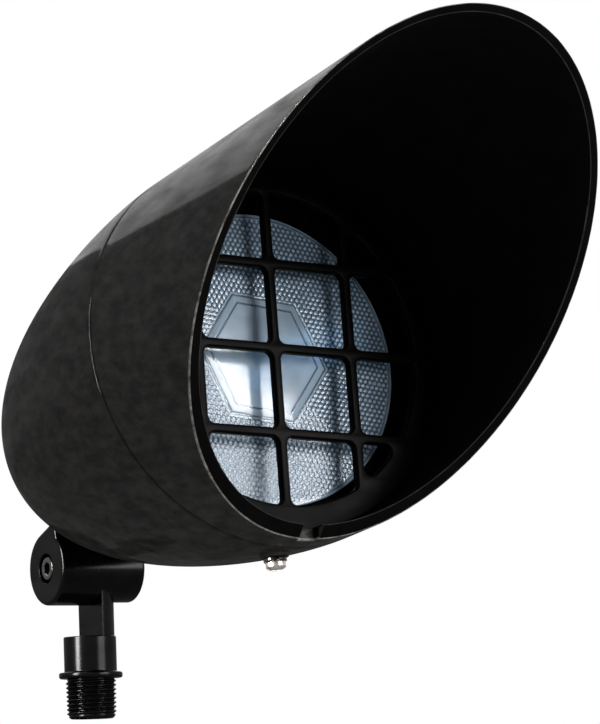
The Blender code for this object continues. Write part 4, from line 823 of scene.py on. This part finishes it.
def paint_inside_rim_shade_and_highlight(mesh):
    """Flat black on what looks at the axis or the guard, and as painted shade on the rim's face.

    A rubbed outer edge is paler, which also paints the rim's highlight: it is where a normal lies
    between the outer wall's, square to the axis, and the rim's, which leans by the cut, within the
    rim's rounding of the outer wall's radius.
    """
    head = values("head")
    centres = np.empty(3 * len(mesh.polygons))
    normals = centres.copy()
    mesh.polygons.foreach_get("center", centres)
    mesh.polygons.foreach_get("normal", normals)
    normals = normals.reshape(-1, 3)
    offset = centres.reshape(-1, 3) - head_origin()
    along = offset @ FORWARD
    outward = offset - along[:, None] * FORWARD
    inward = np.einsum("ij,ij->i", normals, outward) < 0
    ahead = normals @ FORWARD
    rim = normals @ (math.cos(head.cut_angle) * FORWARD - math.sin(head.cut_angle) * UP)
    seat = (along < head.ledge + 0.001) & (ahead > 0.9)
    # Painted shade: the rim's cut face takes the flat black of the inside
    marks = (inward & (ahead < 0.4)) | seat | (rim > 0.99)
    outer = head.body_radius + head.draft * (along - head.seam) - 1.3 * head.rim_round
    # Rubbed outer edge, paler: wear and a painted highlight
    edge = (ahead > 0.06) & (rim < 0.99) & (np.linalg.norm(outward, axis=1) > outer)
    mesh.polygons.foreach_set("material_index", np.where(edge, 2, marks).astype(np.int32))
    mesh.update()


# Rock guard

def opening(low, high, reach, fillet):
    """Rounded opening, as a support curve.

    The part of a rectangle inside a circle is shrunk by the fillet; the outline at each direction
    is its farthest corner or arc point that way, moved out by the fillet along that direction.
    """
    low = np.asarray(low) + fillet
    high = np.asarray(high) - fillet
    limit = reach - fillet
    crossings = []
    for side in (low, high):
        for axis in (0, 1):
            if side[axis] < limit:
                other = math.sqrt(limit ** 2 - side[axis] ** 2)
                crossings.append((side[axis], other) if axis == 0 else (other, side[axis]))
    corners = [(x, y) for x in (low[0], high[0]) for y in (low[1], high[1])]
    on_arc = limit * ray(np.radians(np.arange(0.0, 90.01, 0.5)))
    points = np.concatenate([on_arc, crossings, corners])
    slack = 1e-9
    keep = (points >= low - slack).all(axis=1) & (points <= high + slack).all(axis=1)
    points = points[keep & (np.hypot(*points.T) <= limit + slack)]
    ways = ray(round_angles(120))
    return points[(ways @ points.T).argmax(axis=1)] + fillet * ways


def guard_outlines():
    """Outer circle of the guard and its twelve openings, turned by its clock."""
    guard = values("guard")
    outlines = [guard.radius * ray(round_angles(240))]
    half = guard.bar / 2
    far = 2 * guard.radius
    for column in (0, 1):
        for row in (0, 1):
            low = (column * guard.pitch + half, row * guard.pitch + half)
            high = (far if column else guard.pitch - half, far if row else guard.pitch - half)
            outline = opening(low, high, guard.opening, guard.fillet)
            outlines += [outline * (sx, sy) for sx in (1, -1) for sy in (1, -1)]
    return [outline @ spin(guard.clock) for outline in outlines]


def guard_mesh():
    """Outlines filled and carried from the guard's back to its front with rounded edges."""
    guard = values("guard")
    curve = bpy.data.curves.new("guard_outline", "CURVE")
    curve.dimensions = "2D"
    curve.fill_mode = "BOTH"
    curve.bevel_depth = guard.edge
    curve.bevel_resolution = 3
    curve.offset = -guard.edge
    curve.extrude = (guard.front - guard.back) / 2 - guard.edge
    for outline in guard_outlines():
        spline = curve.splines.new("POLY")
        spline.points.add(len(outline) - 1)
        spline.points.foreach_set("co", np.insert(outline, [2, 2], (0.0, 1.0), axis=1).ravel())
        spline.use_cyclic_u = True
    sketch = bpy.data.objects.new("guard_sketch", curve)
    bpy.context.scene.collection.objects.link(sketch)
    solid = sketch.evaluated_get(bpy.context.evaluated_depsgraph_get())
    mesh = bpy.data.meshes.new_from_object(solid)
    mesh.name = "rock_guard_casting"
    bpy.data.objects.remove(sketch)
    points = np.empty(3 * len(mesh.vertices))
    mesh.vertices.foreach_get("co", points)
    points = points.reshape(-1, 3) + (0.0, 0.0, (guard.front + guard.back) / 2)
    mesh.vertices.foreach_set("co", on_head(points).ravel())
    weld = bmesh.new()
    weld.from_mesh(mesh)
    bmesh.ops.remove_doubles(weld, verts=weld.verts, dist=0.000001)
    bmesh.ops.recalc_face_normals(weld, faces=weld.faces)
    weld.to_mesh(mesh)
    weld.free()
    return mesh


class FLOODLIGHT_OT_guard(bpy.types.Operator):
    """Rock guard: a ring with three bars each way, all edges rounded."""
    bl_idname = "floodlight.guard"
    bl_label = "Rock guard"

    def execute(self, context):
        show_piece("rock_guard_casting", guard_mesh(), ["guard_coat"], "head",
                   "rock_guard", math.radians(50))
        return {"FINISHED"}


# Lamp

FRONT_SHARE = 0.972           # share of the lens's radius that its square grid covers
DIMPLE_START = 0.0006         # smooth strip between the hexagon and the dimples
DIMPLE_GROW = 0.0008          # strip in which the dimples grow
DIMPLE_FADE = 0.001           # strip in which they fade out at the rim
GLINT_START = 0.5             # height share of a dimple where its painted highlight starts
GLINT_SPAN = 0.4              # height share over which the painted highlight comes up
SMOOTH_TONE = 0.7             # paleness of the smooth hexagon
RIM_SHADE = 0.05               # painted shade of the smooth rim


def lens_cap(radius):
    """Shallow ball cap of the lens: its height at a distance from the axis."""
    lamp = values("lamp")
    ball = (lamp.radius ** 2 + lamp.bulge ** 2) / (2 * lamp.bulge)
    return lamp.front - lamp.rise - (ball - np.sqrt(ball ** 2 - radius ** 2))


def nearest_dimple(flat, pitch, clock):
    """Squared distance to the nearest centre of a triangular lattice turned by the clock.

    The lattice is two rectangular ones, offset by half a cell, so the smaller of the distances to
    the two rounded cells holds.
    """
    cell = np.array([pitch, pitch * math.sqrt(3)])
    along = flat @ spin(-clock) / cell
    both = np.stack([along, along + 0.5])
    return (((both - np.round(both)) * cell) ** 2).sum(axis=-1).min(axis=0)


def lens_front(flat):
    """Height and painted light of the lens: cap, dimples, hexagon with two fine grooves."""
    lamp = values("lamp")
    radius = np.hypot(flat[..., 0], flat[..., 1])
    height = lens_cap(radius)
    normals = ray(lamp.clock + math.pi / 6 + round_angles(6))
    flat_way = (flat @ normals.T).max(axis=-1)
    inner = lamp.hexagon * math.cos(math.pi / 6)
    outer = (lamp.hexagon + lamp.border) * math.cos(math.pi / 6)
    foot = lens_cap(lamp.hexagon) - lamp.rise / 2
    share = np.clip((flat_way - inner) / (outer - inner), 0.0, 1.0)
    pad = lamp.front + (foot - lamp.front) * share
    height = np.where(flat_way < outer, np.maximum(height, pad), height)
    groove = sum(np.exp(-((flat_way - edge) / lamp.groove_width) ** 2) for edge in (inner, outer))
    field = np.clip((flat_way - outer - DIMPLE_START) / DIMPLE_GROW, 0.0, 1.0)
    field = field * np.clip((lamp.stipple_end - radius) / DIMPLE_FADE, 0.0, 1.0)
    deepest = lamp.stipple ** 2 / 3
    crown = 1.0 - nearest_dimple(flat, lamp.stipple, lamp.clock) / deepest
    height = height - lamp.groove_depth * groove + lamp.stipple_depth * field * (crown - 0.5)
    # Paleness is painted light: highlights on the dimples' crowns, shade in their valleys, in the
    # grooves and on the smooth rim
    plain = np.where(radius > lamp.stipple_end, RIM_SHADE, SMOOTH_TONE)
    pale = np.clip((crown - GLINT_START) / GLINT_SPAN, 0.0, 1.0)
    return height, pale * field + plain * (1.0 - field) - groove


def even_disc(radius, count):
    """Square grid drawn onto a disc with even spacing: each square ring becomes a circle."""
    side = np.linspace(-1.0, 1.0, count)
    a, b = np.meshgrid(side, side, indexing="ij")
    wide = np.abs(a) >= np.abs(b)
    reach = np.where(wide, a, b)
    safe_a = np.where(a == 0, 1.0, a)
    safe_b = np.where(b == 0, 1.0, b)
    angle = np.where(wide, math.pi / 4 * b / safe_a, math.pi / 2 - math.pi / 4 * a / safe_b)
    return radius * reach[..., None] * ray(angle)


def border_walk(grid):
    """Entries once round the border of a square grid, anticlockwise."""
    return np.concatenate([grid[:-1, 0], grid[-1, :-1], grid[:0:-1, -1], grid[0, :0:-1]])


def lens_mesh(count=262):
    """Points, faces and painted light of the whole lens: stippled front, rim band and smooth back.
    """
    lamp = values("lamp")
    reach = lamp.radius * FRONT_SHARE
    flat = even_disc(reach, count)
    height, shade = lens_front(flat)
    front = np.concatenate([flat, height[..., None]], axis=-1)
    index = np.arange(count * count).reshape(count, count)
    quads = np.stack([index[:-1, :-1], index[1:, :-1], index[1:, 1:], index[:-1, 1:]], axis=-1)
    ways = border_walk(flat)
    ways /= np.linalg.norm(ways, axis=1, keepdims=True)
    low = lamp.front - lamp.rise - lamp.bulge
    base = low - lamp.rim
    inner = lamp.radius - lamp.glass
    edge = rounded([(reach, lens_cap(reach)), (lamp.radius, low), (lamp.radius, base),
                    (inner, base), (inner, lens_cap(inner) - lamp.glass)],
                   [0, 0.0009, 0.0005, 0.0004, 0], 3)[1:]
    back = inner * np.linspace(1.0, 0.0, 9)[1:-1]
    profile = np.concatenate([edge, np.stack([back, lens_cap(back) - lamp.glass], axis=-1)])
    tall = np.broadcast_to(profile[:, None, 1:], (len(profile), len(ways), 1))
    rows = np.concatenate([ways * profile[:, None, :1], tall], axis=-1)
    points = np.concatenate([front.reshape(-1, 3), rows.reshape(-1, 3),
                             [(0.0, 0.0, lens_cap(0.0) - lamp.glass)]])
    loops = np.arange(index.size, len(points) - 1).reshape(-1, len(ways))
    loops = np.concatenate([[border_walk(index)], loops])
    after = np.roll(loops, -1, axis=1)
    sides = np.stack([loops[:-1], loops[1:], after[1:], after[:-1]], axis=-1)
    middle = np.full(len(ways), len(points) - 1)
    # Painted highlight and shade of the front; the rim band and back take a mid tone
    crown = np.full(len(points), 0.5)
    crown[:index.size] = shade.ravel()
    points[:, 1] += lamp.lift * np.clip((points[:, 2] - base) / (low - base), 0.0, 1.0)
    return points, [quads.reshape(-1, 4), sides.reshape(-1, 4),
                    np.stack([loops[-1], middle, after[-1]], axis=-1)], crown


def bowl_profile():
    """Reflector: a parabola of glass with its neck, r = 2 sqrt(f (z - z0)) inside and out."""
    lamp = values("lamp")
    low = lamp.front - lamp.rise - lamp.bulge - lamp.rim - FIT
    reach = lamp.radius - lamp.bowl_step
    vertex = low - reach ** 2 / (4 * lamp.focus)
    outer_vertex = vertex - lamp.bowl_wall
    neck_top = outer_vertex + lamp.neck_radius ** 2 / (4 * lamp.focus)
    neck_end = neck_top - lamp.neck
    outer_z = np.linspace(low - lamp.bowl_band, neck_top, 24)
    outer_r = np.minimum(lamp.radius - FIT, 2 * np.sqrt(lamp.focus * (outer_z - outer_vertex)))
    inner_r = np.linspace(lamp.hole_radius, reach, 40)
    return [(lamp.radius, low), (lamp.radius, low - lamp.bowl_band), *zip(outer_r, outer_z),
            (lamp.neck_radius, neck_end), (lamp.hole_radius, neck_end),
            *zip(inner_r, vertex + inner_r ** 2 / (4 * lamp.focus))]


def node_span(node, origin, way):
    """Lowest and highest place of a CAD node along a direction from an origin."""
    mesh = frame["nodes"][node].data
    points = np.empty(3 * len(mesh.vertices))
    mesh.vertices.foreach_get("co", points)
    along = (points.reshape(-1, 3) - origin) @ way
    return float(along.min()), float(along.max())


def capsule_profile():
    """Capsule with a domed end and a waist above its pinched foot."""
    lamp = values("lamp")
    foot, top = node_span("lamp_capsule", lamp_origin(), FORWARD)
    radius = lamp.capsule_radius
    bend = np.linspace(0.0, math.pi / 2, 14)
    cap = radius * np.stack([np.sin(bend), np.cos(bend)], axis=-1) + (0.0, top - radius)
    waist = rounded([(radius, top - radius), (radius, foot + lamp.capsule_waist),
                     (lamp.capsule_pinch, foot + lamp.capsule_pinch_top),
                     (lamp.capsule_foot, foot), (0.0, foot)], [0, 0.0012, 0.001, 0.0006, 0], 4)
    return [*cap, *waist[1:]]


class FLOODLIGHT_OT_lamp(bpy.types.Operator):
    """Lens, reflector bowl and capsule of the lamp."""
    bl_idname = "floodlight.lamp"
    bl_label = "Reflector lamp"

    def execute(self, context):
        points, faces, crown = lens_mesh()
        mesh = make_mesh("lamp_lens_glass", on_lamp(points), faces)
        # The crown attribute carries the lens's painted highlight and shade
        mesh.attributes.new("crown", "FLOAT", "POINT").data.foreach_set("value", crown)
        show_piece("lamp_lens_glass", mesh, ["glass"], "head", "lamp_lens",
                   math.radians(60))
        bowl = on_lamp(lathe(bowl_profile(), round_angles(160)))
        make_piece("lamp_reflector_bowl", [(bowl, True, 0)], ["mirror"], "head",
                   "lamp_reflector")
        capsule = on_lamp(lathe(capsule_profile(), round_angles(64)))
        make_piece("lamp_light_capsule", [(capsule, False, 0)], ["frosted"], "head",
                   "lamp_capsule")
        return {"FINISHED"}


class FLOODLIGHT_OT_collar(bpy.types.Operator):
    """Silicone collar between the lamp's rim and the spigot; its seat follows the lower lamp."""
    bl_idname = "floodlight.collar"
    bl_label = "Lamp collar"

    def execute(self, context):
        head, lamp = values("head"), values("lamp")
        bevel, tall, flare_start, flare = 0.0004, 0.001, 0.0006, 0.0044
        front = head.ledge - head.ledge_wall - FIT
        back = front - lamp.collar_depth
        outer = head.spigot_radius - head.spigot_wall - FIT
        lip = lamp.radius - bevel
        level = lens_cap(lip) + FIT
        seat = lamp.radius + FIT
        down, low = (0.0, -lamp.drop), (0.0, lamp.lift - lamp.drop)
        rows = [(outer - bevel, front), (outer, front - bevel), (outer, back), (seat, back, down),
                (seat, level - lamp.rim, down), (seat, level, low), (lip + FIT, level, low),
                (lip, level + bevel, low), (lip, level + tall, low),
                (lip + flare_start, level + tall + bevel, low), (lip + flare, front, low)]
        make_piece("lamp_collar_rubber", [(on_head(lathe(rows, round_angles(192))), True, 0)],
                   ["rubber"], "head", "lamp_collar")
        return {"FINISHED"}


# Knuckle

THREAD_SLOPE = 1.25           # steepness of the thread's flanks
THREAD_FLAT = 0.1             # share of the wave that its root flattens
THREAD_TAPER = 1 / 64         # how fast the radius shrinks with the depth
THREAD_TOP = 0.00005          # first row of the thread, under the flange
END_STEP, END_INSET, END_RISE = 0.0005, 0.0009, 0.0002   # blunted end of the nipple


def thread_radius(angles, depth):
    """Tapered pipe thread: a triangle wave that climbs one pitch a turn and fades at both ends."""
    knuckle = values("knuckle")
    phase = (depth / knuckle.thread_pitch + angles[:, None] / TURN) % 1.0
    wave = np.clip(THREAD_SLOPE * (1.0 - np.abs(2.0 * phase - 1.0)) - THREAD_FLAT, 0.0, 1.0)
    start = np.clip(depth / knuckle.thread_start, 0.0, 1.0)
    end = np.clip((knuckle.nipple - knuckle.plain_end - depth) / knuckle.thread_fade, 0.0, 1.0)
    crest = (knuckle.thread_crest - knuckle.thread_root) * wave * (start * end)
    return knuckle.thread_root + crest - THREAD_TAPER * depth


def stem_shell():
    """Sleeve, flange, threaded nipple and its bore, turned about the stem."""
    knuckle = values("knuckle")
    angles = round_angles(144)
    low = -knuckle.nipple
    rows = list(rounded(
        [(0.0, knuckle.sleeve_top), (knuckle.sleeve_radius, knuckle.sleeve_top),
         (knuckle.sleeve_radius, knuckle.flange), (knuckle.flange_radius, knuckle.flange),
         (knuckle.flange_radius, 0.0), (knuckle.thread_root, 0.0)],
        [0, 0.0006, 0.0007, 0.0009, 0.0011, 0], 5))
    depth = np.linspace(THREAD_TOP, knuckle.nipple - knuckle.plain_end, 150)
    thread = thread_radius(angles, depth)
    rows += zip(thread.T, -depth)
    end = thread[0, -1] - END_INSET
    rows += [(thread[0, -1] - END_STEP, low + END_RISE), (end, low)]
    rows += list(rounded([(end, low), (knuckle.nipple_bore, low),
                          (knuckle.nipple_bore, knuckle.bore_top), (0.0, knuckle.bore_top)],
                         [0, 0.0005, 0.001, 0], 4))[1:]
    return lathe(rows, angles)


def neck_shell():
    """Half-round neck: a circle cut flat on the side of the ear, carried up into the disc."""
    knuckle = values("knuckle")
    edge = math.acos(knuckle.neck_flat / knuckle.neck_radius)
    arc = knuckle.neck_radius * ray(np.linspace(-edge, edge, 120))
    outline = np.concatenate([arc, np.linspace(arc[-1], arc[0], 30)[1:-1]])
    middle = np.broadcast_to([knuckle.neck_radius / 2, 0.0], outline.shape)
    low = knuckle.sleeve_top - knuckle.neck_lap
    high = HINGE[2] - knuckle.hub_radius + knuckle.neck_lap
    return np.stack([np.insert(flat, 2, height, axis=1) for flat, height in
                     ((middle, high), (outline, high), (outline, low), (middle, low))], axis=1)


def disc_shell():
    """Disc of the lower arm about the hinge: rounded outside, seal groove and hollow inside."""
    knuckle = values("knuckle")
    face = knuckle.gap / 2
    hub = face + knuckle.hub_depth
    groove = face + knuckle.groove_depth
    thread = knuckle.screw_radius + FIT
    end = knuckle.screw_end + FIT
    outside = rounded([(0.0, knuckle.half), (knuckle.disc_radius, knuckle.half),
                       (knuckle.disc_radius, face)], [0, knuckle.edge, 0], 7)
    inside = [(knuckle.groove_radius, face), (knuckle.groove_radius, groove),
              (knuckle.groove_inner, groove), (knuckle.groove_inner, face),
              (knuckle.hub_radius, face), (knuckle.hub_radius, hub), (thread, hub), (thread, end),
              (0.0, end)]
    grid = lathe([*outside, *inside], round_angles(160))
    return placed(grid, (WORLD_Y, WORLD_Z, ACROSS), HINGE)


class FLOODLIGHT_OT_knuckle(bpy.types.Operator):
    """Lower arm of the knuckle: nipple, flange, sleeve, neck and disc."""
    bl_idname = "floodlight.knuckle"
    bl_label = "Knuckle arm"

    def execute(self, context):
        shells = [(stem_shell(), False, 0), (neck_shell(), False, 0), (disc_shell(), False, 0)]
        make_piece("knuckle_arm_casting", shells, ["enamel"], "stem", "knuckle_arm")
        return {"FINISHED"}


# Screws

SCREW_CREASE = math.radians(30)
KEY_BEVEL = 0.0002            # bevel round the hexagon socket
FACE_EDGE = 0.001             # flat ring of the head's face, from its edge inwards
CROWN_DROP = 0.38             # fall of the pan head's crown, as a share of the head's height
CROWN_POWER = 3.2             # how late the crown falls towards the head's edge
SLOT_EDGE = 0.00008           # half of the slope at each side of the slot


def hexagon_reach(angles, corner):
    """Distance of a hexagon's outline from its middle at each angle."""
    side = (angles + math.pi / 6) % (math.pi / 3) - math.pi / 6
    return corner * math.cos(math.pi / 6) / np.cos(side)


def hinge_screw_shell():
    """Socket head screw along the hinge."""
    knuckle = values("knuckle")
    angles = round_angles(96)
    foot = knuckle.head_seat
    top = foot + knuckle.head
    floor = top - knuckle.key_depth
    key = hexagon_reach(angles, knuckle.key_radius)
    side = rounded([(knuckle.head_radius - FACE_EDGE, top), (knuckle.head_radius, top),
                    (knuckle.head_radius, foot), (knuckle.screw_radius, foot),
                    (knuckle.screw_radius, -knuckle.screw_end), (0.0, -knuckle.screw_end)],
                   [0, 0.0006, 0.0002, 0.0003, 0.0006, 0], 4)
    return on_ear(lathe([(0.0, floor), (key, floor), (key, top - KEY_BEVEL),
                         (key + KEY_BEVEL, top), *side], angles))


def lock_screw_shell(under):
    """Pan head screw with a straight slot, from the underside of its head up into the spigot."""
    lock = values("lock")
    top = under + lock.head
    drop = CROWN_DROP * lock.head
    angles = round_angles(160)
    reach = np.linspace(0.0, 1.0, 60)
    flat = lock.head_radius * reach[:, None] * ray(angles)[:, None]
    wall = (lock.slot / 2 + SLOT_EDGE - np.abs(flat[..., 1])) / (2 * SLOT_EDGE)
    wall = np.clip(wall, 0.0, 1.0)
    height = (top - drop * reach ** CROWN_POWER) * (1 - wall) + (top - lock.head / 2) * wall
    cap = np.concatenate([flat, height[..., None]], axis=-1)
    shank = rounded([(lock.head_radius, top - drop), (lock.head_radius, under),
                     (lock.screw_radius, under),
                     (lock.screw_radius, lock.point + lock.point_length),
                     (lock.point_radius, lock.point), (0.0, lock.point)],
                    [0, 0.0003, 0.0002, 0, 0, 0], 3)
    return under_head(np.concatenate([cap, lathe(shank[1:], angles)], axis=1))


class FLOODLIGHT_OT_screws(bpy.types.Operator):
    """Hinge screw with its hexagon socket, and the slotted lock screw with its washer."""
    bl_idname = "floodlight.screws"
    bl_label = "Screws in sight"

    def execute(self, context):
        lock = values("lock")
        seat = values("head").body_radius + lock.boss + FIT
        top = seat + lock.washer
        hole = lock.screw_radius + FIT
        ring = rounded([(hole, seat), (hole, top), (lock.washer_radius, top),
                        (lock.washer_radius, seat)], [0.0002] * 4, 3, closed=True)
        make_piece("hinge_socket_screw", [(hinge_screw_shell(), False, 0)], ["oxide_and_washer_shade"], "stem",
                   "hinge_screw", SCREW_CREASE)
        make_piece("hood_lock_pan_screw", [(lock_screw_shell(top + FIT), False, 0)],
                   ["stainless"], "head", "hood_lock_screw", SCREW_CREASE)
        # The washer takes the dark oxide as painted shade under the lock screw's head
        make_piece("hood_lock_plain_washer", [(along_lock(ring, 96), True, 0)], ["oxide_and_washer_shade"], "head",
                   "hood_lock_washer")
        return {"FINISHED"}


# Pieces whose solids stay

KEPT = {
    "rubber": ("knuckle_o_ring", "hood_o_ring", "wireway_grommet"),
    "stainless": ("hinge_washer", "guard_screw_1", "guard_screw_2", "guard_screw_3"),
    "base_metal": ("lamp_base_shell",),
    "black_glass": ("lamp_base_insulator",),
    "solder": ("lamp_base_contact",),
    "porcelain": ("socket_body",),
    "brass": ("socket_shell", "socket_contact", "ground_screw"),
    "zinc": ("socket_bracket", "bracket_screw_1", "bracket_screw_2", "socket_screw_1",
             "socket_screw_2", "ground_terminal"),
    "lead_black": ("lead_black",),
    "lead_white": ("lead_white",),
    "lead_green": ("lead_green",),
}


class FLOODLIGHT_OT_inner(bpy.types.Operator):
    """Finishes of the seals, the lampholder, its bracket, screws and leads."""
    bl_idname = "floodlight.inner"
    bl_label = "Inner pieces"

    def execute(self, context):
        for finish, nodes in KEPT.items():
            for node in nodes:
                slots = frame["nodes"][node].data.materials
                slots.clear()
                slots.append(use_finish(finish))
        return {"FINISHED"}


# Stage

MIDDLE = (0.0, -0.08, 0.11)   # point of the floodlight that the lights look at
KEY_PLACE = (-2.6, -2.4, 3.8)
KEY_SIZE = (2.4, 2.4)
FILL_PLACE = (0.75, -1.85, 0.5)
FILL_WIDTH = math.radians(34)
SENSOR_WIDTH = 36.0           # of the camera, in millimetres
CARDS = {                     # lights that only gloss shows: place, target, size, watts, roll
    "glare_card": ((0.92, -1.545, 0.786), MIDDLE, (0.6, 0.5), 5.0, 0.0),
    "rear_card": ((0.40, 1.0, 0.967), (0.40, 0.0, 0.967), (1.9, 1.0), 45.0, math.radians(28.7)),
    "left_strip": ((-1.3, -0.13, 0.45), (0.0, 0.0, 0.45), (0.36, 1.1), 150.0, 0.0),
}


def floor_material():
    """Pale paper, seen only from above."""
    material, tree, shader = new_material("pale_paper", Roughness=0.9, Specular_IOR_Level=0.0)
    share = spread(tree, cloud(tree, 0.05, 4.0))
    fill(tree, shader, {"Base Color": between(tree, share, "E9E9E7", "E4E4E3")})
    clear = add(tree, "ShaderNodeBsdfTransparent").outputs["BSDF"]
    side = add(tree, "ShaderNodeNewGeometry").outputs["Backfacing"]
    mix = add(tree, "ShaderNodeMixShader", {0: side, 1: shader.outputs["BSDF"], 2: clear})
    fill(tree, tree.nodes["Material Output"], {"Surface": mix.outputs["Shader"]})
    return material


def make_world(sky):
    """White for the camera and for gloss and glass, and softer for matt surfaces."""
    world = bpy.data.worlds.new("studio")
    bpy.context.scene.world = world
    world.use_nodes = True
    tree = world.node_tree
    tree.nodes.clear()
    path = add(tree, "ShaderNodeLightPath").outputs
    seen = path["Is Camera Ray"]
    for kind in ("Is Glossy Ray", "Is Transmission Ray"):
        node = add(tree, "ShaderNodeMath", {0: seen, 1: path[kind]}, operation="MAXIMUM")
        seen = node.outputs["Value"]
    level = add(tree, "ShaderNodeMapRange", {"Value": seen, "To Min": sky, "To Max": 1.0})
    back = add(tree, "ShaderNodeBackground", {"Color": (1.0, 1.0, 1.0, 1.0),
                                              "Strength": level.outputs["Result"]})
    add(tree, "ShaderNodeOutputWorld", {"Surface": back.outputs["Background"]})


def aim(thing, place, away, roll=0.0):
    """Put a lamp or camera at a place, looking against a direction and rolled about it."""
    bpy.context.scene.collection.objects.link(thing)
    away = np.array(away, float)
    away /= np.linalg.norm(away)
    side = np.cross(WORLD_Z, away)
    side /= np.linalg.norm(side)
    right, up = spin(roll) @ [side, np.cross(away, side)]
    rows = np.array([right, up, away, tuple(place)]).T
    thing.matrix_world = Matrix([*rows.tolist(), (0.0, 0.0, 0.0, 1.0)])


def make_sun(name, place, target, width, strength):
    """A distant soft light from the side of one point to another."""
    data = bpy.data.lights.new(name, "SUN")
    data.angle = width
    data.energy = strength
    aim(bpy.data.objects.new(name, data), place, np.subtract(place, target))


def make_lamp(name, place, target, size, power, roll=0.0):
    """An area lamp that looks at a point, turned by its roll and unseen by the camera."""
    data = bpy.data.lights.new(name, "AREA")
    data.shape = "RECTANGLE"
    data.size, data.size_y = size
    data.energy = power
    lamp = bpy.data.objects.new(name, data)
    aim(lamp, place, np.subtract(place, target), roll)
    lamp.visible_camera = False
    return lamp


class FLOODLIGHT_OT_stage(bpy.types.Operator):
    """Floor, light and camera."""
    bl_idname = "floodlight.stage"
    bl_label = "Stage"

    def execute(self, context):
        stage = values("stage")
        half = stage.floor_size / 2
        mesh = bpy.data.meshes.new("floor")
        mesh.from_pydata([(-half, -half, stage.floor), (half, -half, stage.floor),
                          (half, half, stage.floor), (-half, half, stage.floor)],
                         [], [(0, 1, 2, 3)])
        mesh.materials.append(floor_material())
        floor = bpy.data.objects.new("floor", mesh)
        context.scene.collection.objects.link(floor)
        make_world(stage.sky)
        make_lamp("key", KEY_PLACE, MIDDLE, KEY_SIZE, stage.key_power)
        make_sun("fill", FILL_PLACE, MIDDLE, FILL_WIDTH, stage.fill_power)
        for name, card in CARDS.items():
            lamp = make_lamp(name, *card)
            lamp.visible_diffuse = False
            lamp.visible_transmission = False
        data = bpy.data.cameras.new("camera")
        data.lens = stage.lens
        data.sensor_width = SENSOR_WIDTH
        camera = bpy.data.objects.new("camera", data)
        aim(camera, stage.camera, stage.towards, stage.roll)
        context.scene.camera = camera
        context.scene.view_settings.view_transform = "Standard"
        return {"FINISHED"}


# Panel and registration

OPERATORS = (FLOODLIGHT_OT_stage, FLOODLIGHT_OT_rear_housing, FLOODLIGHT_OT_hood,
             FLOODLIGHT_OT_guard, FLOODLIGHT_OT_lamp, FLOODLIGHT_OT_collar, FLOODLIGHT_OT_knuckle,
             FLOODLIGHT_OT_screws, FLOODLIGHT_OT_inner)
MAKERS = [kind.bl_idname.removeprefix("floodlight.") for kind in OPERATORS]
GROUPS = {"head": HeadSizes, "guard": GuardSizes, "lamp": LampSizes, "knuckle": KnuckleSizes,
          "lock": LockSizes, "finishes": Finishes, "stage": StageSizes}


class FLOODLIGHT_PT_pieces(bpy.types.Panel):
    """Sizes, colours and makers of the floodlight."""
    bl_idname = "FLOODLIGHT_PT_pieces"
    bl_label = "Floodlight"
    bl_space_type = "VIEW_3D"
    bl_region_type = "UI"
    bl_category = "Floodlight"

    def draw(self, context):
        for maker in MAKERS:
            self.layout.operator("floodlight." + maker)
        for group, kind in GROUPS.items():
            box = self.layout.box()
            box.label(text=kind.__doc__)
            for key in kind.__annotations__:
                box.prop(values(group), key)


def register():
    """Register the property groups, operators and panel."""
    for group, kind in GROUPS.items():
        bpy.utils.register_class(kind)
        setattr(bpy.types.Scene, "floodlight_" + group, PointerProperty(type=kind))
    for kind in (*OPERATORS, FLOODLIGHT_PT_pieces):
        bpy.utils.register_class(kind)


def unregister():
    """Undo register."""
    for kind in (FLOODLIGHT_PT_pieces, *reversed(OPERATORS)):
        bpy.utils.unregister_class(kind)
    for group, kind in GROUPS.items():
        delattr(bpy.types.Scene, "floodlight_" + group)
        bpy.utils.unregister_class(kind)


def main():
    """Make the stage and every piece."""
    register()
    for maker in MAKERS:
        getattr(bpy.ops.floodlight, maker)()


if __name__ == "__main__":
    main()
